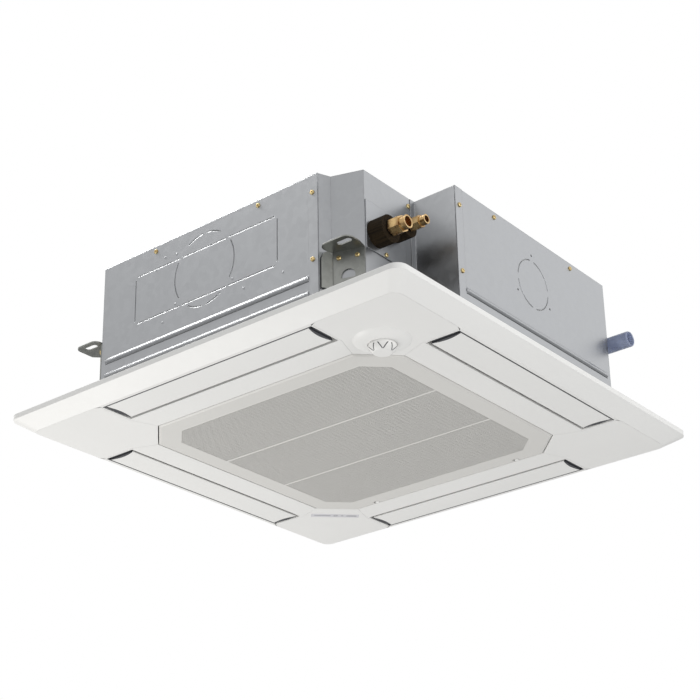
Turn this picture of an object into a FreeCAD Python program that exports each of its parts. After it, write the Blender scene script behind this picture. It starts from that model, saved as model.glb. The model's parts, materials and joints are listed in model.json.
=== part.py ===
import FreeCAD, Part
import Sketcher
import math
import os
from types import SimpleNamespace

# Four-way ceiling cassette air conditioner, in millimetres.
# The origin is the centre of the ceiling opening, in the plane of the ceiling, with +Z up.
# The front of the unit faces -Y, its pipes leave towards +X.

DRIVING = {
    # Decorative panel below the ceiling
    "panel_side": 950, "panel_radius": 40, "panel_depth": 32, "panel_wall": 3,
    "rim_height": 19, "bevel_run": 14, "rim_land": 12, "flat_radius": 26,
    "seam": 0.4, "ledge_width": 9, "ledge_thick": 2.5,
    # Intake grille and filter
    "grille_side": 606, "grille_chamfer": 64, "grille_gap": 2, "grille_proud": 2, "grille_thick": 8,
    "grille_bevel_run": 4, "grille_bevel_rise": 2.5,
    "mesh_side": 520, "mesh_chamfer": 40, "mesh_bar": 6, "rib_width": 3.6, "rib_depth": 4, "rib_count": 51,
    "hinge_inset": 3.5, "hinge_radius": 2, "hinge_spread": 180, "lug_width": 8, "lug_radius": 3.2,
    "hinge_notch": 14, "notch_reach": 10, "hinge_pin": 26,
    "filter_side": 540, "filter_thick": 6, "filter_edge": 14, "filter_rib": 4, "filter_net": 1, "filter_bays": 4,
    "catch_width": 34, "catch_length": 18, "catch_thick": 3, "catch_spread": 170, "catch_lap": 3,
    # Air outlets and vanes
    "outlet_inner": 362, "outlet_outer": 435, "outlet_length": 510, "outlet_frame": 4, "duct_wall": 3,
    "duct_bend": 26, "throat_wall": 25, "throat_depth": 50, "notch_relief": 45,
    "vane_length": 494, "vane_inner_gap": 7, "vane_outer_gap": 3.5, "vane_edge": 2.5, "vane_crown_radius": 900,
    "vane_back_radius": 180, "pivot_out": 400, "pivot_rise": 19, "pivot_radius": 3, "pivot_boss": 5,
    "arm_thick": 4, "arm_half_width": 9, "vane_motor_radius": 12, "vane_motor_length": 16, "pin_reach": 10,
    "running": 0.08,
    # Sensor and indicator in the corner covers
    "sensor_out": 312, "boss_radius": 52, "boss_height": 9, "boss_bevel": 6, "turret_radius": 25,
    "turret_drop": 24, "turret_gap": 0.8, "turret_top_radius": 16, "turret_shaft": 3, "window_width": 18,
    "window_height": 9, "window_depth": 5, "sensor_motor_height": 14, "sensor_motor_lap": 5,
    "strip_length": 105, "strip_width": 18, "strip_depth": 1.8, "strip_out": 303,
    # Cabinet
    "body_side": 840, "body_bottom": 17, "body_height": 258, "sheet": 1, "corner_cut": 140,
    "post_cut": 160, "post_run": 10, "post_step": 25, "post_back": 45, "notch_depth": 91, "notch_length": 193,
    "lap_width": 21, "flange_height": 18, "bead_low": 41, "bead_high": 71, "bead_width": 9, "bead_proud": 2.5,
    "bead_flat": 4, "bead_margin": 12, "top_rib_radius": 150, "top_rib_width": 12, "top_rib_proud": 2,
    "liner_gap": 1.5, "liner_thick": 17.5, "liner_roof": 11, "seat_gap": 0.3,
    "duct_knock_width": 358, "duct_knock_height": 100, "duct_knock_shift": 13, "duct_knock_level": 175,
    "round_knock_radius": 75, "round_knock_level": 181, "air_knock_radius": 50, "air_knock_shift": 17,
    "air_knock_level": 171, "slit": 1.4, "bridge": 7, "burr_radius": 2, "burr_circle": 62,
    "screw_head": 4.5, "screw_head_height": 2.6, "screw_radius": 2, "screw_depth": 2.2, "screw_clear": 0.1,
    "top_screw_drop": 12, "top_screw_spread": 130, "lap_screw_inset": 11, "lap_screw_low": 88,
    "lap_screw_high": 222,
    # Hanger brackets
    "bolt_pitch_x": 630, "bolt_pitch_y": 830, "hanger_level": 118, "hanger_thick": 2.5, "bolt_slot_radius": 6,
    "bolt_slot_length": 30, "hanger_near": 28, "hanger_far": 30, "hanger_lip": 16, "hanger_drop": 30,
    "hanger_root": 15, "hanger_leg": 88, "arch_width": 26, "arch_height": 17, "arch_drop": 36,
    "hanger_tip": 6, "hanger_round": 14, "bracket_screw_drop": 12,
    # Coil, drain pan and air path
    "pan_height": 50, "pan_bore": 204, "trough_floor": 23, "trough_play": 7,
    "coil_outer": 305, "coil_thick": 36, "coil_radius": 70, "coil_top": 250, "coil_break": 195,
    "end_plate": 2, "bend_radius": 10.5, "tube_radius": 4, "bend_count": 7, "bend_pitch": 28, "bend_low": 60,
    "mouth_flange": 226, "mouth_outer": 200, "mouth_throat": 165, "mouth_wall": 2.5, "mouth_top": 88,
    "mouth_arc": 46, "fan_radius": 228, "fan_inlet": 172, "fan_low": 80, "fan_shroud": 110, "fan_plate": 3,
    "fan_back": 213, "fan_hub": 22, "fan_hub_low": 128, "fan_hub_high": 158, "fan_cup_radius": 66,
    "fan_cup_low": 146, "fan_cup_top": 92, "blade_inner": 150, "blade_arc": 170, "blade_thick": 4,
    "blade_count": 7, "motor_radius": 58, "motor_low": 162, "motor_flange": 92, "motor_flange_level": 246,
    "motor_flange_thick": 4, "mount_radius": 10, "mount_circle": 78, "shaft_radius": 6, "shaft_low": 112,
    "shaft_high": 205, "nut_corner": 11, "nut_height": 9,
    # Refrigerant and drain connections
    "gas_radius": 7.94, "gas_inset": 75, "gas_level": 156, "gas_collar": 26, "gas_nut_corner": 16.7,
    "gas_union": 10.5, "gas_tail": 12.5, "gas_bore": 9.6,
    "liquid_radius": 4.76, "pipe_pitch": 55, "pipe_step": 29, "liquid_collar": 21,
    "liquid_nut_corner": 12.7, "liquid_union": 7.5, "liquid_tail": 9, "liquid_bore": 6.3,
    "pipe_plate_thick": 2, "pipe_plate_margin": 10, "collar_length": 32, "union_length": 21, "nut_start": 4,
    "hex_length": 22, "tail_length": 12, "pipe_hole_play": 4, "header_reach": 232,
    "header_radius": 9.5, "header_low": 62, "header_high": 232, "pipe_bend": 22, "liquid_reach": 272,
    "liquid_header_low": 80, "drain_radius": 16, "drain_bore": 12.5, "drain_out": 310, "drain_level": 156,
    "drain_tip": 456, "drain_collar": 20, "drain_collar_start": 412, "drain_collar_length": 6,
    "pump_out": 306, "pump_radius": 27, "pump_top": 170, "pump_port": 12.4, "pump_port_reach": 16,
    "stem_x": 276, "stem_y": 350, "stem_radius": 4, "stem_foot": 8, "stem_foot_height": 5, "stem_height": 52,
    "float_radius": 11, "float_height": 14, "float_travel": 12, "stem_cap_height": 4,
    # Control box inside the intake
    "box_length": 400, "box_width": 58, "box_near": 238, "box_depth": 31, "box_wall": 1.2, "cover_thick": 1.6,
    "board_length": 240, "board_thick": 1.6, "board_drop": 8, "board_margin": 5, "board_post": 3,
    "terminal_length": 80, "terminal_width": 34, "terminal_height": 16,
    # One overrun serves every through cut
    "overrun": 2,
}

BACK, LEFT, FRONT, RIGHT = 0, 1, 2, 3
ACROSS = math.sqrt(0.5)
HEX_SIDES = 6
# Shares: parts of a length, or of a turn, that are not lengths themselves
relief_share = 0.65
motor_bore_share = 0.75
thumb_start_share = 0.45
thumb_end_share = 0.75
screw_pitch_share = 0.55
mouth_bend_share = 0.7
blade_sweep_share = 0.1055


class Size:
    """A length that carries its number and the spreadsheet formula it comes from."""

    def __init__(self, value, formula):
        self.value = value
        self.formula = formula

    def __add__(self, other):
        other = as_size(other)
        return Size(self.value + other.value, f"({self.formula} + {other.formula})")

    def __radd__(self, other):
        return as_size(other) + self

    def __sub__(self, other):
        other = as_size(other)
        return Size(self.value - other.value, f"({self.formula} - {other.formula})")

    def __rsub__(self, other):
        return as_size(other) - self

    def __mul__(self, share):
        share = as_size(share)
        return Size(self.value * share.value, f"({self.formula} * {share.formula})")

    __rmul__ = __mul__

    def __truediv__(self, share):
        share = as_size(share)
        return Size(self.value / share.value, f"({self.formula} / {share.formula})")

    def __neg__(self):
        return self * -1


def as_size(number):
    return number if isinstance(number, Size) else Size(number, f"({number!r})")


def fill_sheet(driving):
    """Writes the driving sizes into the spreadsheet and returns them by name."""
    sheet = doc.addObject("Spreadsheet::Sheet", "Sizes")
    for row, (name, number) in enumerate(driving.items(), start=1):
        sheet.set(f"A{row}", name)
        sheet.set(f"B{row}", str(number))
        sheet.setAlias(f"B{row}", name)
    doc.recompute()
    return SimpleNamespace(**{name: Size(float(sheet.get(name)), f"Sizes.{name}") for name in driving})


def bind(item, **sizes):
    for name, size in sizes.items():
        item.setExpression(name, as_size(size).formula)


def quarter(x, y, turn):
    """A point of the back side, carried round by quarter turns about Z."""
    return [(x, y), (-y, x), (-x, -y), (y, -x)][turn]


def place(item, x=0, y=0, z=0, turn=0, tilt=None):
    """Puts an item at a point of the back side, then carries it round by quarter turns."""
    spin = FreeCAD.Rotation(FreeCAD.Vector(0, 0, 1), 90 * turn)
    item.Placement = FreeCAD.Placement(FreeCAD.Vector(), spin.multiply(tilt or FreeCAD.Rotation()))
    for axis, size in zip("xyz", [as_size(part) for part in quarter(as_size(x), as_size(y), turn)] + [as_size(z)]):
        item.setExpression(f"Placement.Base.{axis}", size.formula)
    return item


ALONG_X = FreeCAD.Rotation(FreeCAD.Vector(0, 1, 0), 90)
UPRIGHT = FreeCAD.Rotation(FreeCAD.Vector(1, 0, 0), 90)
SECTION = FreeCAD.Rotation(FreeCAD.Vector(1, 1, 1), 120)


def arc_between(start, end, radius, bulge):
    """The short arc from start to end that bulges left (1) or right (-1), counter-clockwise."""
    chord = end - start
    left = FreeCAD.Vector(-chord.y, chord.x, 0).normalize() * bulge
    centre = (start + end) * 0.5 - left * math.sqrt(max(radius ** 2 - chord.Length ** 2 / 4, 0))
    angles = [math.atan2(point.y - centre.y, point.x - centre.x) for point in (start, end)]
    if bulge > 0:
        angles.reverse()
    return Part.ArcOfCircle(Part.Circle(centre, FreeCAD.Vector(0, 0, 1), radius), *angles)


def pin_point(sketch, edge, spot, x, y):
    """Ties one end of an edge to the sketch axes by formulas."""
    for kind, size, axis in (("DistanceX", x, -2), ("DistanceY", y, -1)):
        size = as_size(size)
        if size.value == 0:
            sketch.addConstraint(Sketcher.Constraint("PointOnObject", edge, spot, axis))
        else:
            row = sketch.addConstraint(Sketcher.Constraint(kind, -1, 1, edge, spot, size.value))
            sketch.setExpression(f"Constraints[{row}]", size.formula)


def draw(sketch, corners):
    """Adds a closed outline; a corner with a radius and a bulge is reached by an arc."""
    points = [FreeCAD.Vector(as_size(c[0]).value, as_size(c[1]).value, 0) for c in corners]
    first = sketch.GeometryCount
    ends = []
    for place_in_row, point in enumerate(points):
        onward = (place_in_row + 1) % len(points)
        if len(corners[onward]) > 2:
            radius, bulge = corners[onward][2:]
            row = sketch.addGeometry(arc_between(point, points[onward], as_size(radius).value, bulge))
            ends.append((row, 1, 2) if bulge < 0 else (row, 2, 1))
            bend = sketch.addConstraint(Sketcher.Constraint("Radius", row, as_size(radius).value))
            sketch.setExpression(f"Constraints[{bend}]", as_size(radius).formula)
        else:
            row = sketch.addGeometry(Part.LineSegment(point, points[onward]))
            ends.append((row, 1, 2))
    for place_in_row, (row, start, end) in enumerate(ends):
        after = ends[(place_in_row + 1) % len(ends)]
        sketch.addConstraint(Sketcher.Constraint("Coincident", row, end, after[0], after[1]))
        pin_point(sketch, row, start, corners[place_in_row][0], corners[place_in_row][1])
    return first


def draw_circle(sketch, x, y, radius):
    centre = FreeCAD.Vector(as_size(x).value, as_size(y).value, 0)
    row = sketch.addGeometry(Part.Circle(centre, FreeCAD.Vector(0, 0, 1), as_size(radius).value))
    bend = sketch.addConstraint(Sketcher.Constraint("Radius", row, as_size(radius).value))
    sketch.setExpression(f"Constraints[{bend}]", as_size(radius).formula)
    pin_point(sketch, row, 3, x, y)


def rectangle(x_low, x_high, y_low, y_high):
    return [(x_low, y_low), (x_high, y_low), (x_high, y_high), (x_low, y_high)]


def octagon(half, chamfer):
    """A square with its corners cut off."""
    inner = half - chamfer
    quarter_turn = [(inner, -half), (half, -inner)]
    return [quarter(*corner, turn) for turn in (0, 1, 2, 3) for corner in quarter_turn]


def soft_square(half, radius):
    """A square with rounded corners, as an outline with arcs."""
    inner = half - radius
    side = [(inner, -half), (half, -inner, radius, -1)]
    return [quarter(*corner[:2], turn) + corner[2:] for turn in (0, 1, 2, 3) for corner in side]


# Free-standing sketches and Part features

def flat_sketch(name, corners, z=0, turn=0):
    sketch = doc.addObject("Sketcher::SketchObject", name)
    draw(sketch, corners)
    return place(sketch, z=z, turn=turn)


def extrude(name, base, low, high):
    """Extrudes a flat outline that lies at height zero from low to high."""
    solid = doc.addObject("Part::Extrusion", name)
    solid.Base = base
    solid.DirMode = "Custom"
    solid.Dir = FreeCAD.Vector(0, 0, 1)
    solid.Solid = True
    bind(solid, LengthFwd=high, LengthRev=-as_size(low))
    return solid


def prism(name, corners, low, high, turn=0):
    return extrude(name, flat_sketch(name + "_outline", corners, turn=turn), low, high)


def section(name, corners, x_low, length, turn=0):
    """Extrudes a cross-section of one side, drawn as (outward, up), along that side."""
    sketch = doc.addObject("Sketcher::SketchObject", name + "_section")
    draw(sketch, corners)
    place(sketch, x=x_low, turn=turn, tilt=SECTION)
    solid = doc.addObject("Part::Extrusion", name)
    solid.Base = sketch
    solid.DirMode = "Normal"
    solid.Solid = True
    bind(solid, LengthFwd=length)
    return solid


def turned(name, corners, x=0, y=0):
    """Revolves a half profile, drawn as (radius, up), about an upright axis."""
    sketch = doc.addObject("Sketcher::SketchObject", name + "_profile")
    draw(sketch, corners)
    place(sketch, x=x, y=y, tilt=UPRIGHT)
    solid = doc.addObject("Part::Revolution", name)
    solid.Source = sketch
    solid.Axis = FreeCAD.Vector(0, 0, 1)
    solid.Angle = 360
    solid.Solid = True
    bind(solid, **{"Base.x": x, "Base.y": y})
    return solid


def box(name, x_low, x_high, y_low, y_high, z_low, z_high, turn=0):
    block = doc.addObject("Part::Box", name)
    bind(block, Length=as_size(x_high) - x_low, Width=as_size(y_high) - y_low, Height=as_size(z_high) - z_low)
    return place(block, x_low, y_low, z_low, turn)


def rod(name, radius, length, x=0, y=0, z=0, turn=0, tilt=None):
    cylinder = doc.addObject("Part::Cylinder", name)
    bind(cylinder, Radius=radius, Height=length)
    return place(cylinder, x, y, z, turn, tilt)


def loft(name, low, high):
    solid = doc.addObject("Part::Loft", name)
    solid.Sections = [low, high]
    solid.Solid = True
    solid.Ruled = True
    return solid


def inset(name, outline, size):
    ring = doc.addObject("Part::Offset2D", name)
    ring.Source = outline
    ring.Join = "Intersection"
    bind(ring, Value=-as_size(size))
    return ring


def fuse(name, *solids):
    joined = doc.addObject("Part::MultiFuse", name)
    joined.Shapes = list(solids)
    joined.Refine = True
    return joined


def group(name, *solids):
    gathered = doc.addObject("Part::Compound", name)
    gathered.Links = list(solids)
    return gathered


def cut(name, base, *tools):
    """Takes the tools away from the base; tools that stand apart go in as one group."""
    carved = doc.addObject("Part::Cut", name)
    carved.Base = base
    carved.Tool = tools[0] if len(tools) == 1 else fuse(name + "_tools", *tools)
    carved.Refine = True
    return carved


def common(name, one, other):
    shared = doc.addObject("Part::Common", name)
    shared.Base = one
    shared.Tool = other
    return shared


# PartDesign bodies

def new_body(name, turn=0, x=0, y=0, z=0):
    return place(doc.addObject("PartDesign::Body", name), x, y, z, turn)


def on_plane(body, role, name, offset=0):
    """A sketch on one of the body's own planes, moved along that plane's normal."""
    sketch = body.newObject("Sketcher::SketchObject", name)
    plane = [feature for feature in body.Origin.OriginFeatures if feature.Role == role][0]
    sketch.AttachmentSupport = (plane, [""])
    sketch.MapMode = "FlatFace"
    sketch.setExpression("AttachmentOffset.Base.z", as_size(offset).formula)
    return sketch


def pad(body, sketch, length, both_ways=False, back=False):
    feature = body.newObject("PartDesign::Pad", sketch.Name + "_pad")
    feature.Profile = sketch
    feature.Midplane = both_ways
    feature.Reversed = back
    bind(feature, Length=length)
    return feature


def pierce(body, sketch):
    """A pocket that goes through the whole body, both ways from its sketch."""
    feature = body.newObject("PartDesign::Pocket", sketch.Name + "_pocket")
    feature.Profile = sketch
    feature.Type = "ThroughAll"
    feature.Midplane = True
    return feature


def revolve(body, sketch):
    feature = body.newObject("PartDesign::Revolution", sketch.Name + "_turn")
    feature.Profile = sketch
    feature.ReferenceAxis = (sketch, ["V_Axis"])
    feature.Angle = 360
    return feature


def origin_axis(body, role):
    return ([feature for feature in body.Origin.OriginFeatures if feature.Role == role][0], [""])


PARTS = {}


def part(label, item):
    """Registers a finished sub-part under the name of its file."""
    item.Label = label
    PARTS[label] = item
    return item


doc = FreeCAD.newDocument("ceiling_cassette")
s = fill_sheet(DRIVING)

panel_half = s.panel_side / 2
flat_half = panel_half - s.bevel_run
flat_top = s.panel_wall - s.panel_depth
grille_half = s.grille_side / 2
grille_low = -s.panel_depth - s.grille_proud
grille_top = grille_low + s.grille_thick
well_half = grille_half + s.grille_gap
well_chamfer = s.grille_chamfer + s.grille_gap * (2 - math.sqrt(2))
outlet_end = s.outlet_length / 2
pivot_level = s.pivot_rise - s.panel_depth
body_half = s.body_side / 2
body_top = s.body_bottom + s.body_height
pan_top = s.body_bottom + s.pan_height
hinge_y = grille_half - s.hinge_inset
hinge_z = grille_low + s.hinge_inset
notch_x = body_half - s.notch_depth
throat_outer = body_half - s.throat_wall
throat_inner = throat_outer - s.throat_depth
coil_middle = s.coil_outer - s.coil_thick / 2
gas_out = body_half - s.gas_inset
liquid_out = gas_out - s.pipe_pitch
liquid_level = s.gas_level + s.pipe_step


# Decorative panel

def throat_range(turn):
    """How far an air throat runs along its side; the pipe corner shortens the right one."""
    return -outlet_end, outlet_end - s.notch_relief if turn == RIGHT else outlet_end


def corner_cover_outline():
    """Outline of the cover in the (+x, +y) corner: grille edge, outlet ends and panel bevel."""
    edge = flat_half - s.seam
    beside = outlet_end + s.outlet_frame
    inner = s.outlet_inner - s.outlet_frame
    outer = s.outlet_outer + s.outlet_frame
    slip = edge - outer
    bend = s.flat_radius - s.seam
    vertex = well_half - well_chamfer
    return [(vertex, well_half), (well_half, vertex), (inner, beside), (outer, beside), (edge, beside + slip / 2),
            (edge, edge - bend), (edge - bend, edge, bend, -1), (beside + slip / 2, edge), (beside, outer),
            (beside, inner)]


def panel_frame():
    top = flat_sketch("panel_edge", soft_square(panel_half, s.panel_radius), -s.rim_height)
    flat = flat_sketch("panel_flat", soft_square(flat_half, s.flat_radius), -s.panel_depth)
    rim = prism("panel_rim", soft_square(panel_half, s.panel_radius), -s.rim_height, 0)
    hollow_top = flat_sketch("panel_hollow_edge", soft_square(panel_half - s.rim_land, s.panel_radius - s.rim_land))
    hollow_flat = flat_sketch("panel_hollow_flat",
                              soft_square(flat_half - s.panel_wall * 2, s.flat_radius - s.panel_wall * 2), flat_top)
    tray = cut("panel_tray", fuse("panel_block", rim, loft("panel_bevel", flat, top)),
               loft("panel_hollow", hollow_flat, hollow_top))
    well = prism("panel_well", octagon(well_half + s.panel_wall, well_chamfer), -s.panel_depth, s.body_bottom)
    added = [tray, well]
    removed = [prism("panel_well_hole", octagon(well_half, well_chamfer), -s.panel_depth - s.overrun,
                     s.body_bottom + s.overrun)]
    for turn in (BACK, LEFT, FRONT, RIGHT):
        added += [outlet_duct(turn), corner_ledge(turn)]
        removed += outlet_voids(turn)
    frame = cut("panel_frame_body", fuse("panel_frame_blank", *added), *removed)
    part("panel_frame", fuse("panel_frame_shape", frame, *[hinge_lug(side) for side in (-1, 1)]))


def outlet_duct(turn):
    wall = s.duct_wall
    outline = [(s.outlet_inner - wall, flat_top), (s.outlet_outer + wall, flat_top),
               (s.outlet_outer + wall, s.duct_bend - s.panel_depth), (throat_outer + wall, s.body_bottom),
               (throat_inner - wall, s.body_bottom), (s.outlet_inner - wall, s.duct_bend - s.panel_depth)]
    return section(f"duct_{turn}", outline, -outlet_end - wall, s.outlet_length + wall * 2, turn)


def outlet_voids(turn):
    """The passage through a duct, the holes for the vane pins, and the seat of a corner cover."""
    bend = s.duct_bend - s.panel_depth
    mouth = rectangle(s.outlet_inner, s.outlet_outer, -s.panel_depth - s.overrun, bend)
    low, high = throat_range(turn)
    span = s.outlet_length + s.duct_wall * 2 + s.overrun * 2
    pins = rod(f"pin_holes_{turn}", s.pivot_radius + s.running, span, -span / 2, s.pivot_out, pivot_level, turn,
               ALONG_X)
    cover = flat_sketch(f"cover_seat_outline_{turn}", corner_cover_outline(), turn=turn)
    seat = extrude(f"cover_seat_{turn}", inset(f"cover_seat_edge_{turn}", cover, -s.seam),
                   -s.panel_depth - s.overrun, flat_top)
    voids = [section(f"mouth_{turn}", mouth, -outlet_end, s.outlet_length, turn),
             section(f"rise_{turn}", rise_outline(1), low, high - low, turn), pins, seat]
    if turn == RIGHT:
        voids.append(section("vane_pocket", rise_outline(relief_share), high - s.overrun,
                             s.notch_relief + s.overrun, turn))
    return voids


def rise_outline(share):
    """Section of the passage above the vane, carried that share of the way up to the cabinet."""
    bend = s.duct_bend - s.panel_depth
    top = bend + (s.body_bottom - bend) * share
    outer = s.outlet_outer + (throat_outer - s.outlet_outer) * share
    inner = s.outlet_inner + (throat_inner - s.outlet_inner) * share
    return [(s.outlet_inner, bend - s.overrun), (s.outlet_outer, bend - s.overrun), (s.outlet_outer, bend),
            (outer, top), (inner, top), (s.outlet_inner, bend)]


def corner_ledge(turn):
    """The flange above a corner cover that the cover's edge sits on."""
    cover = flat_sketch(f"ledge_outline_{turn}", corner_cover_outline(), turn=turn)
    wide = extrude(f"ledge_plate_{turn}", inset(f"ledge_edge_{turn}", cover, -s.ledge_width / 2),
                   flat_top, flat_top + s.ledge_thick)
    hole = extrude(f"ledge_hole_{turn}", inset(f"ledge_hole_edge_{turn}", cover, s.ledge_width),
                   flat_top - s.overrun, flat_top + s.ledge_thick + s.overrun)
    return cut(f"ledge_{turn}", wide, hole)


def hinge_lug(side):
    """A lug on the well wall with the bore of one grille hinge."""
    low = s.hinge_spread * side - s.lug_width / 2
    high = low + s.lug_width
    arm_low = grille_top + s.grille_gap
    stem = box(f"lug_stem_{side}", low, high, hinge_y - s.lug_radius, hinge_y + s.lug_radius, hinge_z,
               arm_low + s.lug_radius)
    arm = box(f"lug_arm_{side}", low, high, hinge_y - s.lug_radius, well_half + s.panel_wall / 2, arm_low,
              arm_low + s.lug_radius * 2)
    eye = rod(f"lug_eye_{side}", s.lug_radius, s.lug_width, low, hinge_y, hinge_z, tilt=ALONG_X)
    bore = rod(f"lug_bore_{side}", s.hinge_radius + s.running, s.lug_width + s.overrun * 2, low - s.overrun,
               hinge_y, hinge_z, tilt=ALONG_X)
    return cut(f"lug_{side}", fuse(f"lug_blank_{side}", stem, arm, eye), bore)


def corner_covers():
    for turn, name in ((0, "corner_cover_back_right"), (1, "corner_cover_indicator"),
                       (2, "corner_cover_front_left"), (3, "corner_cover_sensor")):
        body = new_body(name + "_body", turn)
        plate = on_plane(body, "XY_Plane", name + "_plate", -s.panel_depth)
        draw(plate, corner_cover_outline())
        pad(body, plate, s.panel_wall)
        if name.endswith("sensor"):
            part(name, fuse_boss(body))
        elif name.endswith("indicator"):
            part(name, cut(name + "_shape", body, indicator_blank("strip_pocket", s.seam / 4)))
        else:
            part(name, body)


def fuse_boss(body):
    """The shallow round boss of the sensor cover, with the hole its turret turns in."""
    x, y = quarter(s.sensor_out, s.sensor_out, RIGHT)
    low = -s.panel_depth - s.boss_height
    ring = s.turret_radius + s.turret_gap
    profile = [(ring, flat_top), (s.boss_radius, flat_top), (s.boss_radius, -s.panel_depth),
               (s.boss_radius - s.boss_bevel, low + s.boss_height / 2), (ring + s.boss_bevel, low), (ring, low)]
    hole = rod("boss_hole", ring, s.panel_wall + s.overrun * 2, x, y, -s.panel_depth - s.overrun)
    return fuse("sensor_cover_shape", cut("sensor_plate", body, hole), turned("sensor_boss", profile, x, y))


def indicator_blank(name, grow):
    """The window strip that lies across the far corner."""
    length = s.strip_length + grow * 2
    width = s.strip_width + grow * 2
    middle = s.strip_out * math.sqrt(2)
    blank = doc.addObject("Part::Box", name)
    bind(blank, Length=length, Width=width, Height=s.strip_depth)
    tilt = FreeCAD.Rotation(FreeCAD.Vector(0, 0, 1), 45)
    x = -middle * ACROSS - length / 2 * ACROSS + width / 2 * ACROSS
    y = middle * ACROSS - length / 2 * ACROSS - width / 2 * ACROSS
    return place(blank, x, y, -s.panel_depth, tilt=tilt)


def sensor():
    x, y = quarter(s.sensor_out, s.sensor_out, RIGHT)
    low = -s.panel_depth - s.turret_drop
    shoulder = -s.panel_depth - s.boss_height
    top = flat_top - s.turret_gap
    body = new_body("turret_body", x=x, y=y)
    profile = on_plane(body, "XZ_Plane", "turret_profile")
    draw(profile, [(0, low), (s.turret_top_radius, low), (s.turret_radius, shoulder - s.boss_bevel / 2,
                   s.turret_drop, -1), (s.turret_radius, top), (s.turret_shaft, top),
                   (s.turret_shaft, flat_top + s.sensor_motor_height / 2), (0, flat_top + s.sensor_motor_height / 2)])
    revolve(body, profile)
    seat = box("lens_seat", x - s.window_width / 2, x + s.window_width / 2, y + s.turret_radius - s.window_depth * 2,
               y + s.turret_radius, low + s.window_depth / 2, low + s.window_depth / 2 + s.window_height)
    part("sensor_turret", cut("turret_shape", body, seat))
    lens = box("lens_blank", x - s.window_width / 2, x + s.window_width / 2, y + s.turret_radius - s.window_depth * 2,
               y + s.turret_radius - s.window_depth * 1.5, low + s.window_depth / 2,
               low + s.window_depth / 2 + s.window_height)
    part("sensor_lens", lens)
    case = rod("sensor_motor_case", s.turret_radius + s.sensor_motor_lap, s.sensor_motor_height, x, y, flat_top)
    bore = rod("sensor_motor_bore", s.turret_shaft + s.running, s.sensor_motor_height * motor_bore_share, x, y,
               flat_top - s.overrun)
    part("sensor_motor", cut("sensor_motor_shape", case, bore))
    part("indicator_window", indicator_blank("indicator_window_strip", 0))


# Intake grille, its hinge, catches and filter

def mesh_bays():
    """Outlines of the three openings of the grille, from front to back."""
    half = s.mesh_side / 2
    deep = (s.mesh_side - s.mesh_bar * 2) / 3
    cut_in = half - s.mesh_chamfer
    middle = rectangle(-half, half, -deep / 2, deep / 2)
    near = half - deep
    back = [(-half, near), (half, near), (half, cut_in), (cut_in, half), (-cut_in, half), (-half, cut_in)]
    front = [(-x, -y) for x, y in back]
    return [front, middle, back]


def intake_grille():
    body = new_body("grille_body")
    plate = on_plane(body, "XY_Plane", "grille_plate", grille_low)
    draw(plate, octagon(grille_half, s.grille_chamfer))
    pad(body, plate, s.grille_thick)
    bays = on_plane(body, "XY_Plane", "grille_bays", grille_low)
    for bay in mesh_bays():
        draw(bays, bay)
    pierce(body, bays)
    pitch = s.mesh_side / (s.rib_count + 1)
    first = pitch - s.mesh_side / 2
    reach = s.mesh_side / 2 + s.overrun
    rib = on_plane(body, "XY_Plane", "grille_rib", grille_low + s.rib_depth / 4)
    draw(rib, rectangle(first - s.rib_width / 2, first + s.rib_width / 2, -reach, reach))
    rib_pad = pad(body, rib, s.rib_depth)
    ribs = body.newObject("PartDesign::LinearPattern", "grille_ribs")
    ribs.Originals = [rib_pad]
    ribs.Direction = origin_axis(body, "X_Axis")
    bind(ribs, Length=pitch * (s.rib_count - 1), Occurrences=s.rib_count)
    body.Tip = ribs
    notches = on_plane(body, "XY_Plane", "grille_notches", grille_low)
    for side in (-1, 1):
        middle = s.hinge_spread * side
        draw(notches, rectangle(middle - s.hinge_notch / 2, middle + s.hinge_notch / 2, hinge_y - s.notch_reach,
                                grille_half + s.overrun))
    pierce(body, notches)
    pins = [hinge_pin(f"hinge_pin_{name}", side) for name, side in (("left", -1), ("right", 1))]
    holes = [hinge_pin(f"hinge_hole_{name}", side) for name, side in (("left", -1), ("right", 1))]
    part("intake_grille", cut("grille_shape", body, *holes, grille_edge_waste()))
    part("grille_hinge_pins", group("hinge_pin_pair", *pins))


def grille_edge_waste():
    """What the bevel takes off round the lower edge of the grille, so that it can swing past the corners."""
    rise = grille_low + s.grille_bevel_rise
    slant = 2 - math.sqrt(2)
    face = flat_sketch("grille_face", octagon(grille_half - s.grille_bevel_run,
                                              s.grille_chamfer - s.grille_bevel_run * slant), grille_low)
    edge = flat_sketch("grille_edge", octagon(grille_half, s.grille_chamfer), rise)
    block = prism("grille_edge_block", octagon(grille_half + s.overrun, s.grille_chamfer + s.overrun * slant),
                  grille_low, rise)
    return cut("grille_edge_waste", block, loft("grille_bevel", face, edge))


def hinge_pin(name, side):
    return rod(name, s.hinge_radius, s.hinge_pin, s.hinge_spread * side - s.hinge_pin / 2, hinge_y, hinge_z,
               tilt=ALONG_X)


def grille_catches():
    """Two sliding catches on the back of the grille, at its front edge, clear of the filter when drawn back."""
    for name, side in (("left", -1), ("right", 1)):
        middle = s.catch_spread * side
        low = -grille_half + s.catch_lap
        slide = box(f"catch_slide_{name}", middle - s.catch_width / 2, middle + s.catch_width / 2, low,
                    low + s.catch_length, grille_top, grille_top + s.catch_thick)
        thumb = box(f"catch_thumb_{name}", middle - s.catch_width / 6, middle + s.catch_width / 6,
                    low + s.catch_length * thumb_start_share, low + s.catch_length * thumb_end_share, grille_top + s.catch_thick,
                    grille_top + s.catch_thick * 2)
        part(f"grille_catch_{name}", fuse(f"catch_shape_{name}", slide, thumb))


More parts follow.
